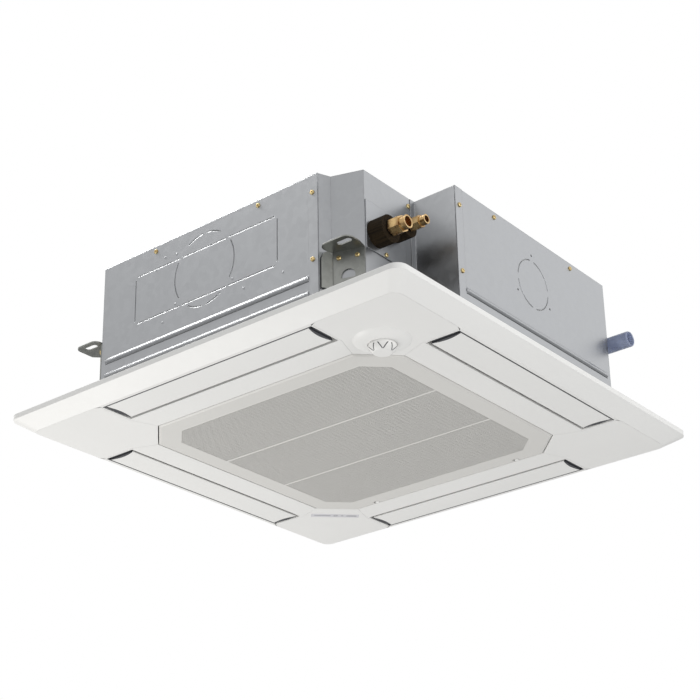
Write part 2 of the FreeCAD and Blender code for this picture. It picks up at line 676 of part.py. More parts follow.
def air_filter():
    half = s.filter_side / 2
    body = new_body("filter_body")
    plate = on_plane(body, "XY_Plane", "filter_plate", grille_top)
    draw(plate, rectangle(-half, half, -half, half))
    pad(body, plate, s.filter_thick)
    span = s.filter_side - s.filter_edge * 2
    bay = (span - s.filter_rib * (s.filter_bays - 1)) / s.filter_bays
    start = s.filter_edge - half
    window = on_plane(body, "XY_Plane", "filter_window", grille_top + s.filter_thick)
    draw(window, rectangle(start, start + bay, start, start + bay))
    pocket = body.newObject("PartDesign::Pocket", "filter_pocket")
    pocket.Profile = window
    bind(pocket, Length=s.filter_thick - s.filter_net)
    windows = body.newObject("PartDesign::LinearPattern", "filter_windows")
    windows.Originals = [pocket]
    windows.Direction = origin_axis(body, "X_Axis")
    windows.Direction2 = origin_axis(body, "Y_Axis")
    bind(windows, Length=span - bay, Length2=span - bay, Occurrences=s.filter_bays, Occurrences2=s.filter_bays)
    body.Tip = windows
    part("air_filter", body)


# Vanes and their motors

def vanes():
    inner = s.outlet_inner + s.vane_inner_gap
    outer = s.outlet_outer - s.vane_outer_gap
    low = -s.panel_depth
    half = s.vane_length / 2
    for turn, name in ((BACK, "vane_back"), (LEFT, "vane_left"), (FRONT, "vane_front"), (RIGHT, "vane_right")):
        body = new_body(name + "_body", turn)
        blade = on_plane(body, "YZ_Plane", name + "_blade")
        draw(blade, [(inner, low), (outer, low, s.vane_crown_radius, -1), (outer, low + s.vane_edge),
                     (inner, low + s.vane_edge, s.vane_back_radius, -1)])
        pad(body, blade, s.vane_length, both_ways=True)
        for side in (-1, 1):
            arm = on_plane(body, "YZ_Plane", f"{name}_arm_{side + 1}", half * side)
            draw(arm, [(s.pivot_out - s.arm_half_width, low + s.vane_edge),
                       (s.pivot_out + s.arm_half_width, low + s.vane_edge), (s.pivot_out + s.pivot_boss, pivot_level),
                       (s.pivot_out, pivot_level + s.pivot_boss, s.pivot_boss, -1),
                       (s.pivot_out - s.pivot_boss, pivot_level, s.pivot_boss, -1)])
            pad(body, arm, s.arm_thick, back=side > 0)
            pin = on_plane(body, "YZ_Plane", f"{name}_pin_{side + 1}", half * side)
            draw_circle(pin, s.pivot_out, pivot_level, s.pivot_radius)
            reach = outlet_end + s.duct_wall - half
            pad(body, pin, reach + s.pin_reach if side > 0 else reach, back=side < 0)
        part(name, body)


def vane_motors():
    motors = []
    start = outlet_end + s.duct_wall
    for turn in (BACK, LEFT, FRONT, RIGHT):
        case = rod(f"vane_motor_case_{turn}", s.vane_motor_radius, s.vane_motor_length, start, s.pivot_out,
                   pivot_level, turn, ALONG_X)
        bore = rod(f"vane_motor_bore_{turn}", s.pivot_radius + s.running, s.pin_reach + s.overrun * 2,
                   start - s.overrun, s.pivot_out, pivot_level, turn, ALONG_X)
        motors.append(cut(f"vane_motor_{turn}", case, bore))
    part("vane_motors", group("vane_motor_set", *motors))


# Cabinet

def cabinet_outline():
    """Plan of the cabinet: three plain cut corners and the stepped pipe corner at (+x, -y)."""
    edge = body_half - s.corner_cut
    return [(-edge, -body_half), (body_half - s.post_cut, -body_half),
            (body_half - s.post_cut + s.post_run, s.post_step - body_half), (notch_x, s.post_back - body_half),
            (notch_x, s.notch_length - body_half), (body_half, s.notch_length - body_half), (body_half, edge),
            (edge, body_half), (-edge, body_half), (-body_half, edge), (-body_half, -edge)]


def side_span(turn):
    """The run of a side plate along its side, in that side's own direction."""
    edge = body_half - s.corner_cut
    if turn == FRONT:
        return s.post_cut - body_half, edge
    if turn == RIGHT:
        return -edge, body_half - s.notch_length
    return -edge, edge


def slit_frame(sketch, x, z, width, height):
    """Dashed slits round a rectangular knockout; the bridges keep it in the plate."""
    dash = (width - s.bridge * 4) / 3
    for across in (z - height / 2, z + height / 2):
        for step in (-1, 0, 1):
            start = x + (dash + s.bridge) * step - dash / 2
            draw(sketch, rectangle(start, start + dash, across - s.slit / 2, across + s.slit / 2))
    for side in (-1, 1):
        edge = x + width / 2 * side
        reach = height / 2 - s.bridge
        draw(sketch, rectangle(edge - s.slit / 2, edge + s.slit / 2, z - reach, z + reach))


def slit_ring(sketch, x, z, radius, shares):
    """Curved slits round a circular knockout, each given as its two angle shares of a turn."""
    for start, end in shares:
        rim = []
        for share, size in ((start, radius - s.slit / 2), (start, radius + s.slit / 2), (end, radius + s.slit / 2),
                            (end, radius - s.slit / 2)):
            angle = share * 2 * math.pi
            rim.append((x + size * math.cos(angle), z + size * math.sin(angle)))
        outer = rim[2] + (radius + s.slit / 2, -1)
        inner = rim[0] + (radius - s.slit / 2, 1)
        draw(sketch, [inner, rim[1], outer, rim[3]])


def side_plates(holes):
    for turn, name in ((BACK, "side_plate_back"), (LEFT, "side_plate_left"), (FRONT, "side_plate_front"),
                       (RIGHT, "side_plate_right")):
        low, high = side_span(turn)
        body = new_body(name + "_body", turn)
        sheet = on_plane(body, "XZ_Plane", name + "_sheet", -body_half)
        draw(sheet, rectangle(low, high, s.body_bottom, body_top))
        pad(body, sheet, s.sheet)
        trim = s.lap_width if turn in (FRONT, RIGHT) else s.bead_margin
        start, end = (low + trim, high - s.bead_margin) if turn == FRONT else (low + s.bead_margin, high - trim)
        for level, bead_name in ((s.bead_low, "low"), (s.bead_high, "high")):
            bead = on_plane(body, "YZ_Plane", f"{name}_bead_{bead_name}", start)
            draw(bead, [(body_half, level - s.bead_width / 2), (body_half + s.bead_proud, level - s.bead_flat / 2),
                        (body_half + s.bead_proud, level + s.bead_flat / 2), (body_half, level + s.bead_width / 2)])
            pad(body, bead, end - start)
        knock_outs(body, name, turn)
        part(name, cut(name + "_shape", body, holes))


def knock_outs(body, name, turn):
    """Pressed-out blanks for a branch duct (front) and for fresh air (right)."""
    if turn == FRONT:
        slits = on_plane(body, "XZ_Plane", name + "_slits", -body_half)
        slit_frame(slits, s.duct_knock_shift, s.duct_knock_level, s.duct_knock_width, s.duct_knock_height)
        pierce(body, slits)
        ring = on_plane(body, "XZ_Plane", name + "_ring", -body_half)
        slit_ring(ring, s.duct_knock_shift, s.round_knock_level, s.round_knock_radius,
                  ((-0.09, 0.08), (0.16, 0.24), (0.26, 0.34), (0.42, 0.59), (0.66, 0.74), (0.76, 0.84)))
        pierce(body, ring)
    if turn == RIGHT:
        ring = on_plane(body, "XZ_Plane", name + "_ring", -body_half)
        slit_ring(ring, -s.air_knock_shift, s.air_knock_level, s.air_knock_radius,
                  ((0.02, 0.23), (0.27, 0.48), (0.52, 0.73), (0.77, 0.98)))
        for share in (1 / 4, 7 / 12, 11 / 12):
            angle = share * 2 * math.pi
            draw_circle(ring, s.burr_circle * math.cos(angle) - s.air_knock_shift,
                        s.burr_circle * math.sin(angle) + s.air_knock_level, s.burr_radius)
        pierce(body, ring)


def corner_plates(outline, holes):
    shell = cut("cabinet_shell", extrude("cabinet_block", outline, s.body_bottom, body_top),
                extrude("cabinet_core", inset("cabinet_core_edge", outline, s.sheet), s.body_bottom - s.overrun,
                        body_top + s.overrun))
    edge = body_half - s.corner_cut
    levels = (s.body_bottom, body_top)
    for name, region in (("corner_plate_front_left", (-body_half, -edge, -body_half, -edge)),
                         ("corner_plate_back_left", (-body_half, -edge, edge, body_half))):
        part(name, cut(name + "_shape", common(name + "_sheet", shell, box(name + "_region", *region, *levels)),
                       holes))
    drain = common("drain_corner_sheet", shell, box("drain_corner", edge, body_half, edge, body_half, *levels))
    part("corner_plate_drain", cut("drain_corner_shape", drain, holes, drain_hole("drain_corner_hole", s.seat_gap)))
    pipe = common("pipe_corner_sheet", shell,
                  box("pipe_corner", body_half - s.post_cut, body_half, -body_half, s.notch_length - body_half, *levels))
    front_lap = box("front_lap", body_half - s.post_cut - s.lap_width, body_half - s.post_cut, -body_half - s.sheet,
                    -body_half, *levels)
    front_tie = box("front_tie", body_half - s.post_cut, body_half - s.post_cut + s.sheet, -body_half - s.sheet,
                    s.sheet - body_half, *levels)
    side_lap = box("side_lap", body_half, body_half + s.sheet, s.notch_length - body_half,
                   s.notch_length - body_half + s.lap_width, *levels)
    side_tie = box("side_tie", body_half - s.sheet, body_half + s.sheet, s.notch_length - body_half - s.sheet,
                   s.notch_length - body_half, *levels)
    part("corner_plate_pipe", cut("pipe_corner_shape", fuse("pipe_corner_blank", pipe, front_lap, front_tie, side_lap,
                                                            side_tie),
                                  holes, *pipe_holes("pipe_corner_hole", s.pipe_hole_play, notch_x - s.sheet - s.overrun)))


def pipe_holes(name, play, start):
    span = notch_x + s.overrun - start
    return [rod(f"{name}_gas", s.gas_radius + play, span, start, -gas_out, s.gas_level, tilt=ALONG_X),
            rod(f"{name}_liquid", s.liquid_radius + play, span, start, -liquid_out, liquid_level, tilt=ALONG_X)]


def drain_hole(name, play):
    reach = s.corner_cut
    return rod(name, s.drain_radius + play, reach, body_half - reach, s.drain_out, s.drain_level, tilt=ALONG_X)


def top_plate(outline, holes):
    outer = inset("top_edge", outline, s.sheet)
    inner = inset("top_inner_edge", outline, s.sheet * 2)
    low = body_top - s.flange_height
    pan = cut("top_pan", extrude("top_block", outer, low, body_top),
              extrude("top_hollow", inner, low - s.overrun, body_top - s.sheet))
    rib = turned("top_rib", [(s.top_rib_radius - s.top_rib_width, body_top - s.sheet / 2),
                             (s.top_rib_radius + s.top_rib_width, body_top - s.sheet / 2),
                             (s.top_rib_radius + s.top_rib_width / 2, body_top + s.top_rib_proud),
                             (s.top_rib_radius - s.top_rib_width / 2, body_top + s.top_rib_proud)])
    part("top_plate", cut("top_plate_shape", fuse("top_plate_blank", pan, rib), holes))


def foam_liner(outline):
    outer = inset("liner_edge", outline, s.sheet + s.liner_gap)
    inner = inset("liner_inner_edge", outline, s.sheet + s.liner_gap + s.liner_thick)
    top = body_top - s.sheet - s.seat_gap
    low = pan_top + s.seat_gap
    block = extrude("liner_block", outer, low, top)
    room = extrude("liner_room", inner, low - s.overrun, top - s.liner_roof)
    hole = rod("liner_motor_hole", s.motor_flange + s.liner_gap * 2, s.liner_roof + s.overrun * 2,
               z=top - s.liner_roof - s.overrun)
    part("foam_liner", cut("liner_shape", block, room, hole, drain_hole("liner_drain_hole", s.pipe_hole_play),
                           *pipe_holes("liner_pipe_hole", s.pipe_hole_play * 1.5, s.header_reach - s.pipe_bend)))


# Screws of the cabinet and of the brackets

def cabinet_screw_places():
    """Each screw as (x, y, z, turn) with the face it enters on the back side of its turn."""
    top = body_top - s.top_screw_drop
    places = []
    for turn in (BACK, LEFT, FRONT, RIGHT):
        low, high = side_span(turn)
        middle = (low + high) / 2
        for side in (-1, 1):
            places.append((middle + s.top_screw_spread * side, body_half, top, turn))
    lap_front = s.post_cut - body_half + s.lap_screw_inset
    lap_side = body_half - s.notch_length - s.lap_screw_inset
    for rise in (s.lap_screw_low, s.lap_screw_high):
        places.append((lap_front, body_half + s.sheet, s.body_bottom + rise, FRONT))
        places.append((lap_side, body_half + s.sheet, s.body_bottom + rise, RIGHT))
    return places


def bracket_corners():
    """Each hanger bracket: name, sign along x, sign along y, and the two ends of its leg."""
    x = s.bolt_pitch_x / 2
    cut_sum = s.body_side - s.corner_cut
    plain = ((x - s.hanger_near, cut_sum - x + s.hanger_near), (x + s.hanger_root, cut_sum - x - s.hanger_root))
    step_x = body_half - s.post_cut + s.post_run
    pipe = ((step_x, body_half - s.post_step), (notch_x, body_half - s.post_back))
    return [("front_left", -1, -1, plain), ("back_left", -1, 1, plain), ("back_right", 1, 1, plain),
            ("pipe", 1, -1, pipe)]


def leg_frame(root):
    """Middle and width of a leg, and its unit directions along the face and out of it, as plain shares."""
    (x_one, y_one), (x_two, y_two) = root
    span = math.hypot(x_two.value - x_one.value, y_two.value - y_one.value)
    along = ((x_two.value - x_one.value) / span, (y_two.value - y_one.value) / span)
    outward = (-along[1], along[0])
    if outward[1] < 0:
        outward = (along[1], -along[0])
    width = (x_two - x_one) * along[0] + (y_two - y_one) * along[1]
    return ((x_one + x_two) / 2, (y_one + y_two) / 2), width, along, outward


def slant_rod(name, radius, length, x, y, z, direction):
    tilt = FreeCAD.Rotation(FreeCAD.Vector(0, 0, 1), FreeCAD.Vector(*direction, 0))
    return rod(name, radius, length, x, y, z, tilt=tilt)


def screws():
    """Makes both screw groups and returns the holes that their shanks need."""
    heads, holes = [], []
    for row, (x, y, z, turn) in enumerate(cabinet_screw_places()):
        tilt = FreeCAD.Rotation(FreeCAD.Vector(1, 0, 0), -90)
        head = rod(f"case_screw_head_{row}", s.screw_head, s.screw_head_height, x, y, z, turn, tilt)
        shank = rod(f"case_screw_shank_{row}", s.screw_radius, s.screw_depth, x, y - s.screw_depth, z, turn, tilt)
        heads.append(fuse(f"case_screw_{row}", head, shank))
        holes.append(rod(f"case_screw_hole_{row}", s.screw_radius + s.screw_clear, s.screw_depth * 3,
                         x, y - s.screw_depth * 1.5, z, turn, tilt))
    part("cabinet_screws", group("case_screw_set", *heads))
    hangers = []
    for name, sign_x, sign_y, root in bracket_corners():
        (x, y), width, along, outward = leg_frame(root)
        direction = (outward[0] * sign_x, outward[1] * sign_y)
        for side in (-1, 1):
            reach = width * screw_pitch_share / 2 * side
            spot_x = (x + reach * along[0] + s.hanger_thick * outward[0]) * sign_x
            spot_y = (y + reach * along[1] + s.hanger_thick * outward[1]) * sign_y
            z = s.hanger_level - s.bracket_screw_drop
            depth = s.hanger_thick + s.sheet + s.liner_gap / 2
            head = slant_rod(f"hanger_screw_head_{name}_{side + 1}", s.screw_head, s.screw_head_height, spot_x, spot_y,
                             z, direction)
            shank = slant_rod(f"hanger_screw_shank_{name}_{side + 1}", s.screw_radius, depth,
                              spot_x - depth * direction[0], spot_y - depth * direction[1], z, direction)
            hangers.append(fuse(f"hanger_screw_{name}_{side + 1}", head, shank))
            holes.append(slant_rod(f"hanger_screw_hole_{name}_{side + 1}", s.screw_radius + s.screw_clear, depth * 2,
                                   spot_x - depth * 1.5 * direction[0], spot_y - depth * 1.5 * direction[1], z,
                                   direction))
    part("bracket_screws", group("hanger_screw_set", *hangers))
    return group("screw_holes", *holes)


def hanger_brackets(holes):
    x = s.bolt_pitch_x / 2
    y = s.bolt_pitch_y / 2
    top = s.hanger_level + s.hanger_thick
    for name, sign_x, sign_y, root in bracket_corners():
        (mid_x, mid_y), _, _, outward = leg_frame(root)
        (near_x, near_y), (far_x, far_y) = root
        end = far_x + s.hanger_tip if name == "pipe" else x + s.hanger_far
        back = y - s.hanger_lip if name == "pipe" else y - s.hanger_drop
        lip = y + s.hanger_lip
        bow = (s.hanger_round, sign_x * sign_y)
        shelf = [(near_x, near_y), (near_x, lip - s.hanger_round), (near_x + s.hanger_round, lip, *bow),
                 (end - s.hanger_round, lip), (end, lip - s.hanger_round, *bow), (end, back), (far_x, far_y)]
        lift = (s.hanger_thick * outward[0], s.hanger_thick * outward[1])
        leg = [root[0], root[1], (far_x + lift[0], far_y + lift[1]), (near_x + lift[0], near_y + lift[1])]
        mirror = [[(corner[0] * sign_x, corner[1] * sign_y, *corner[2:]) for corner in outline]
                  for outline in (shelf, leg)]
        plate = prism(f"hanger_shelf_{name}", mirror[0], s.hanger_level, top)
        upright = prism(f"hanger_leg_{name}", mirror[1], s.hanger_level - s.hanger_leg, top)
        run = s.bolt_slot_length / 2 - s.bolt_slot_radius
        slot = box(f"bolt_slot_{name}", x * sign_x - run, x * sign_x + run, y * sign_y - s.bolt_slot_radius,
                   y * sign_y + s.bolt_slot_radius, s.hanger_level - s.overrun, top + s.overrun)
        rounds = [rod(f"bolt_slot_end_{name}_{side + 1}", s.bolt_slot_radius, s.hanger_thick + s.overrun * 2,
                      x * sign_x + run * side, y * sign_y, s.hanger_level - s.overrun) for side in (-1, 1)]
        direction = (outward[0] * sign_x, outward[1] * sign_y)
        crown = s.hanger_level - s.arch_drop
        arch = slant_rod(f"hanger_arch_{name}", s.arch_width / 2, s.hanger_thick * 3,
                         mid_x * sign_x - s.hanger_thick * direction[0], mid_y * sign_y - s.hanger_thick * direction[1],
                         crown - s.arch_width / 2, direction)
        sill = box(f"hanger_sill_{name}", mid_x * sign_x - s.arch_width, mid_x * sign_x + s.arch_width,
                   mid_y * sign_y - s.arch_width, mid_y * sign_y + s.arch_width, crown - s.arch_height,
                   crown + s.overrun)
        window = common(f"hanger_window_{name}", arch, sill)
        part(f"hanger_bracket_{name}", cut(f"hanger_shape_{name}", fuse(f"hanger_blank_{name}", plate, upright), slot,
                                           *rounds, window, holes))


# Drain pan, coil and air path

def drain_pan(outline):
    block = extrude("pan_block", inset("pan_edge", outline, s.sheet + s.seat_gap), s.body_bottom, pan_top)
    floor = s.body_bottom + s.trough_floor
    inner = s.coil_outer - s.coil_thick
    trough = cut("pan_trough", prism("pan_trough_block", soft_square(s.coil_outer + s.trough_play, s.coil_radius
                                                                     + s.trough_play), floor, pan_top + s.overrun),
                 prism("pan_island", soft_square(inner - s.trough_play, s.coil_radius - s.coil_thick - s.trough_play),
                       floor - s.overrun, pan_top + s.overrun * 2))
    bore = rod("pan_bore_tool", s.pan_bore, s.pan_height + s.overrun * 2, z=s.body_bottom - s.overrun)
    throats = []
    for turn in (BACK, LEFT, FRONT, RIGHT):
        low, high = throat_range(turn)
        throats.append(box(f"pan_throat_{turn}", low, high, throat_inner, throat_outer,
                           s.body_bottom - s.overrun, pan_top + s.overrun, turn))
    part("drain_pan", cut("pan_shape", block, trough, bore, *throats))


def coil():
    low = s.body_bottom + s.trough_floor + s.seat_gap
    inner = s.coil_outer - s.coil_thick
    ring = cut("coil_ring", prism("coil_block", soft_square(s.coil_outer, s.coil_radius), low, s.coil_top),
               prism("coil_core", soft_square(inner, s.coil_radius - s.coil_thick), low - s.overrun,
                     s.coil_top + s.overrun))
    gap = box("coil_gap", s.coil_break, s.coil_outer + s.overrun, -s.coil_outer - s.overrun, -s.coil_break,
              low - s.overrun, s.coil_top + s.overrun)
    part("coil_fins", cut("coil_shape", ring, gap))
    front = box("end_plate_front", s.coil_break, s.coil_break + s.end_plate, -s.coil_outer, -inner, low, s.coil_top)
    side = box("end_plate_side", inner, s.coil_outer, -s.coil_break - s.end_plate, -s.coil_break, low, s.coil_top)
    part("coil_end_plates", group("end_plate_pair", front, side))
    bends = []
    for step in range(int(s.bend_count.value)):
        level = s.bend_low + s.bend_pitch * step
        for turn, name in ((FRONT, "front"), (RIGHT, "side")):
            bend = doc.addObject("Part::Torus", f"bend_{name}_{step}")
            bind(bend, Radius1=s.bend_radius, Radius2=s.tube_radius)
            bend.Angle3 = 180
            reach = s.coil_break + s.end_plate
            if name == "front":
                place(bend, reach, -coil_middle, level, tilt=FreeCAD.Rotation(FreeCAD.Vector(0, 0, 1), -90))
            else:
                place(bend, coil_middle, -reach, level, tilt=FreeCAD.Rotation(FreeCAD.Vector(0, 0, 1), 180))
            bends.append(bend)
    part("coil_return_bends", group("return_bend_set", *bends))


def bell_mouth():
    body = new_body("bell_mouth_body")
    low = s.body_bottom - s.mouth_wall
    bend = s.mouth_top * mouth_bend_share
    profile = on_plane(body, "XZ_Plane", "bell_mouth_profile")
    draw(profile, [(s.mouth_flange, low), (s.mouth_flange, s.body_bottom), (s.mouth_outer, s.body_bottom),
                   (s.mouth_throat + s.mouth_wall, bend, s.mouth_arc, -1), (s.mouth_throat + s.mouth_wall, s.mouth_top),
                   (s.mouth_throat, s.mouth_top), (s.mouth_throat, bend),
                   (s.mouth_outer - s.mouth_wall, low, s.mouth_arc + s.mouth_wall, 1)])
    revolve(body, profile)
    part("bell_mouth", body)


def turbo_fan():
    body = new_body("fan_body")
    hub = on_plane(body, "XZ_Plane", "fan_hub_profile")
    thick = s.fan_plate
    draw(hub, [(s.shaft_radius, s.fan_hub_low), (s.fan_hub, s.fan_hub_low), (s.fan_hub, s.fan_cup_low),
               (s.fan_cup_radius, s.fan_cup_low), (s.fan_cup_top, s.fan_back), (s.fan_radius, s.fan_back),
               (s.fan_radius, s.fan_back + thick), (s.fan_cup_top - thick, s.fan_back + thick),
               (s.fan_cup_radius - thick, s.fan_cup_low + thick), (s.fan_hub, s.fan_cup_low + thick),
               (s.fan_hub, s.fan_hub_high), (s.shaft_radius, s.fan_hub_high)])
    revolve(body, hub)
    blade = on_plane(body, "XY_Plane", "fan_blade", s.fan_shroud)
    sweep = blade_sweep_share * 2 * math.pi
    lead = s.fan_radius - s.blade_thick / 2
    tip_x, tip_y = lead * math.cos(sweep), -lead * math.sin(sweep)
    draw(blade, [(s.blade_inner, 0), (tip_x, tip_y, s.blade_arc, 1), (tip_x - s.blade_thick / 3, tip_y - s.blade_thick),
                 (s.blade_inner - s.blade_thick, -s.blade_thick / 2, s.blade_arc - s.blade_thick, -1)])
    blade_pad = pad(body, blade, s.fan_back - s.fan_shroud + thick / 2)
    blades = body.newObject("PartDesign::PolarPattern", "fan_blades")
    blades.Originals = [blade_pad]
    blades.Axis = origin_axis(body, "Z_Axis")
    blades.Angle = 360
    bind(blades, Occurrences=s.blade_count)
    body.Tip = blades
    shroud = on_plane(body, "XZ_Plane", "fan_shroud_profile")
    draw(shroud, [(s.fan_inlet, s.fan_low), (s.fan_inlet + thick, s.fan_low), (s.fan_radius, s.fan_shroud - thick,
                  s.fan_radius - s.fan_inlet, 1), (s.fan_radius, s.fan_shroud + thick / 2),
                  (s.fan_inlet, s.fan_shroud + thick / 2)])
    revolve(body, shroud)
    part("turbo_fan", body)
    part("motor_shaft", rod("motor_shaft_rod", s.shaft_radius, s.shaft_high - s.shaft_low, z=s.shaft_low))
    nut = doc.addObject("Part::Prism", "fan_nut_blank")
    nut.Polygon = HEX_SIDES
    bind(nut, Circumradius=s.nut_corner, Height=s.nut_height)
    place(nut, z=s.fan_hub_low - s.nut_height)
    bore = rod("fan_nut_bore", s.shaft_radius, s.nut_height + s.overrun * 2,
               z=s.fan_hub_low - s.nut_height - s.overrun)
    part("fan_nut", cut("fan_nut_shape", nut, bore))


def fan_motor():
    case = rod("motor_case", s.motor_radius, s.motor_flange_level - s.motor_low, z=s.motor_low)
    flange = rod("motor_flange_disc", s.motor_flange, s.motor_flange_thick, z=s.motor_flange_level)
    bore = rod("motor_bore", s.shaft_radius + s.running, s.shaft_high - s.motor_low + s.overrun * 2,
               z=s.motor_low - s.overrun)
    part("fan_motor", cut("motor_shape", fuse("motor_blank", case, flange), bore))
    top = s.motor_flange_level + s.motor_flange_thick
    feet = []
    for turn in (BACK, LEFT, FRONT, RIGHT):
        spot = s.mount_circle * ACROSS
        feet.append(rod(f"motor_foot_{turn}", s.mount_radius, body_top - s.sheet - top, spot, spot, top, turn))
    part("motor_mounts", group("motor_foot_set", *feet))


# Pipes, nuts, collars and the drain

def bent_pipe(name, radius, route_role, route, start_role, start_offset, start):
    """A tube swept along two straight runs joined by a bend."""
    body = new_body(name + "_tube")
    path = on_plane(body, *route_role)
    first, corner, second = route
    bend = s.pipe_bend
    points = [FreeCAD.Vector(as_size(x).value, as_size(y).value, 0) for x, y in (first, corner[0], corner[1], second)]
    rows = [path.addGeometry(Part.LineSegment(points[0], points[1])),
            path.addGeometry(arc_between(points[1], points[2], bend.value, corner[2])),
            path.addGeometry(Part.LineSegment(points[2], points[3]))]
    ends = (1, 2) if corner[2] < 0 else (2, 1)
    path.addConstraint(Sketcher.Constraint("Coincident", rows[0], 2, rows[1], ends[0]))
    path.addConstraint(Sketcher.Constraint("Coincident", rows[1], ends[1], rows[2], 1))
    for row, spot, (x, y) in ((rows[0], 1, first), (rows[0], 2, corner[0]), (rows[2], 1, corner[1]),
                              (rows[2], 2, second)):
        pin_point(path, row, spot, x, y)
    bow = path.addConstraint(Sketcher.Constraint("Radius", rows[1], bend.value))
    path.setExpression(f"Constraints[{bow}]", bend.formula)
    ring = on_plane(body, start_role, name + "_ring", start_offset)
    draw_circle(ring, *start, radius)
    tube = body.newObject("PartDesign::AdditivePipe", name + "_sweep")
    tube.Profile = ring
    tube.Spine = (path, ["Edge1", "Edge2", "Edge3"])
    return body


def hex_nut(name, corner, union, tail, bore, y, z):
    start = collar_end() + s.nut_start
    blank = doc.addObject("Part::Prism", name + "_hex")
    blank.Polygon = HEX_SIDES
    bind(blank, Circumradius=corner, Height=s.hex_length)
    place(blank, start, y, z, tilt=ALONG_X)
    end = rod(name + "_tail", tail, s.tail_length, start + s.hex_length, y, z, tilt=ALONG_X)
    seat = rod(name + "_seat", union + s.running, s.union_length - s.nut_start + s.overrun * 2, start - s.overrun, y, z,
               tilt=ALONG_X)
    hole = rod(name + "_hole", bore, s.hex_length + s.tail_length + s.overrun * 2, start - s.overrun, y, z,
               tilt=ALONG_X)
    return part(name, cut(name + "_shape", fuse(name + "_blank", blank, end), seat, hole))


def collar_end():
    return notch_x + s.pipe_plate_thick + s.collar_length


def connections():
    face = notch_x + s.pipe_plate_thick
    end = collar_end()
    edge_low = s.post_back - body_half + s.overrun
    edge_high = s.pipe_plate_margin + s.liquid_collar - liquid_out
    plate = box("pipe_plate_blank", notch_x, face, edge_low, edge_high,
                s.gas_level - s.gas_collar - s.pipe_plate_margin, liquid_level + s.liquid_collar + s.pipe_plate_margin)
    holes = [rod(f"pipe_plate_hole_{name}", radius + s.seat_gap, s.pipe_plate_thick + s.overrun * 2,
                 notch_x - s.overrun, -out, level, tilt=ALONG_X)
             for name, radius, out, level in (("gas", s.gas_radius, gas_out, s.gas_level),
                                              ("liquid", s.liquid_radius, liquid_out, liquid_level))]
    part("pipe_plate", cut("pipe_plate_shape", plate, *holes))
    bend = s.pipe_bend
    gas = bent_pipe("gas", s.gas_radius, ("XY_Plane", "gas_route", s.gas_level),
                    [(s.header_reach, -coil_middle),
                     ((s.header_reach, bend - gas_out), (s.header_reach + bend, -gas_out), -1),
                     (end, -gas_out)],
                    "XZ_Plane", coil_middle, (s.header_reach, s.gas_level))
    header = rod("gas_header", s.header_radius, s.header_high - s.header_low, s.header_reach, -coil_middle,
                 s.header_low)
    feed = s.coil_break + s.end_plate
    feeds = [rod(f"gas_feed_{step}", s.tube_radius, s.header_reach - feed, feed, -coil_middle,
                 s.bend_low + s.bend_pitch * (step + 0.5), tilt=ALONG_X) for step in (0, 2, 4)]
    union = rod("gas_union_body", s.gas_union, s.union_length, end, -gas_out, s.gas_level, tilt=ALONG_X)
    part("gas_pipe", fuse("gas_pipe_shape", gas, header, union, *feeds))
    liquid = bent_pipe("liquid", s.liquid_radius, ("XZ_Plane", "liquid_route", liquid_out),
                       [(s.liquid_reach, s.liquid_header_low),
                        ((s.liquid_reach, liquid_level - bend), (s.liquid_reach + bend, liquid_level), 1),
                        (end, liquid_level)],
                       "XY_Plane", s.liquid_header_low, (s.liquid_reach, -liquid_out))
    tip = rod("liquid_union_body", s.liquid_union, s.union_length, end, -liquid_out, liquid_level, tilt=ALONG_X)
    part("liquid_pipe", fuse("liquid_pipe_shape", liquid, tip))
    for name, collar, radius, out, level in (("gas", s.gas_collar, s.gas_radius, gas_out, s.gas_level),
                                             ("liquid", s.liquid_collar, s.liquid_radius, liquid_out, liquid_level)):
        sleeve = rod(f"{name}_collar_sleeve", collar, s.collar_length, face, -out, level, tilt=ALONG_X)
        bore = rod(f"{name}_collar_bore", radius, s.collar_length + s.overrun * 2, face - s.overrun, -out, level,
                   tilt=ALONG_X)
        part(f"{name}_collar", cut(f"{name}_collar_shape", sleeve, bore))
    hex_nut("gas_flare_nut", s.gas_nut_corner, s.gas_union, s.gas_tail, s.gas_bore, -gas_out, s.gas_level)
    hex_nut("liquid_flare_nut", s.liquid_nut_corner, s.liquid_union, s.liquid_tail, s.liquid_bore, -liquid_out,
            liquid_level)


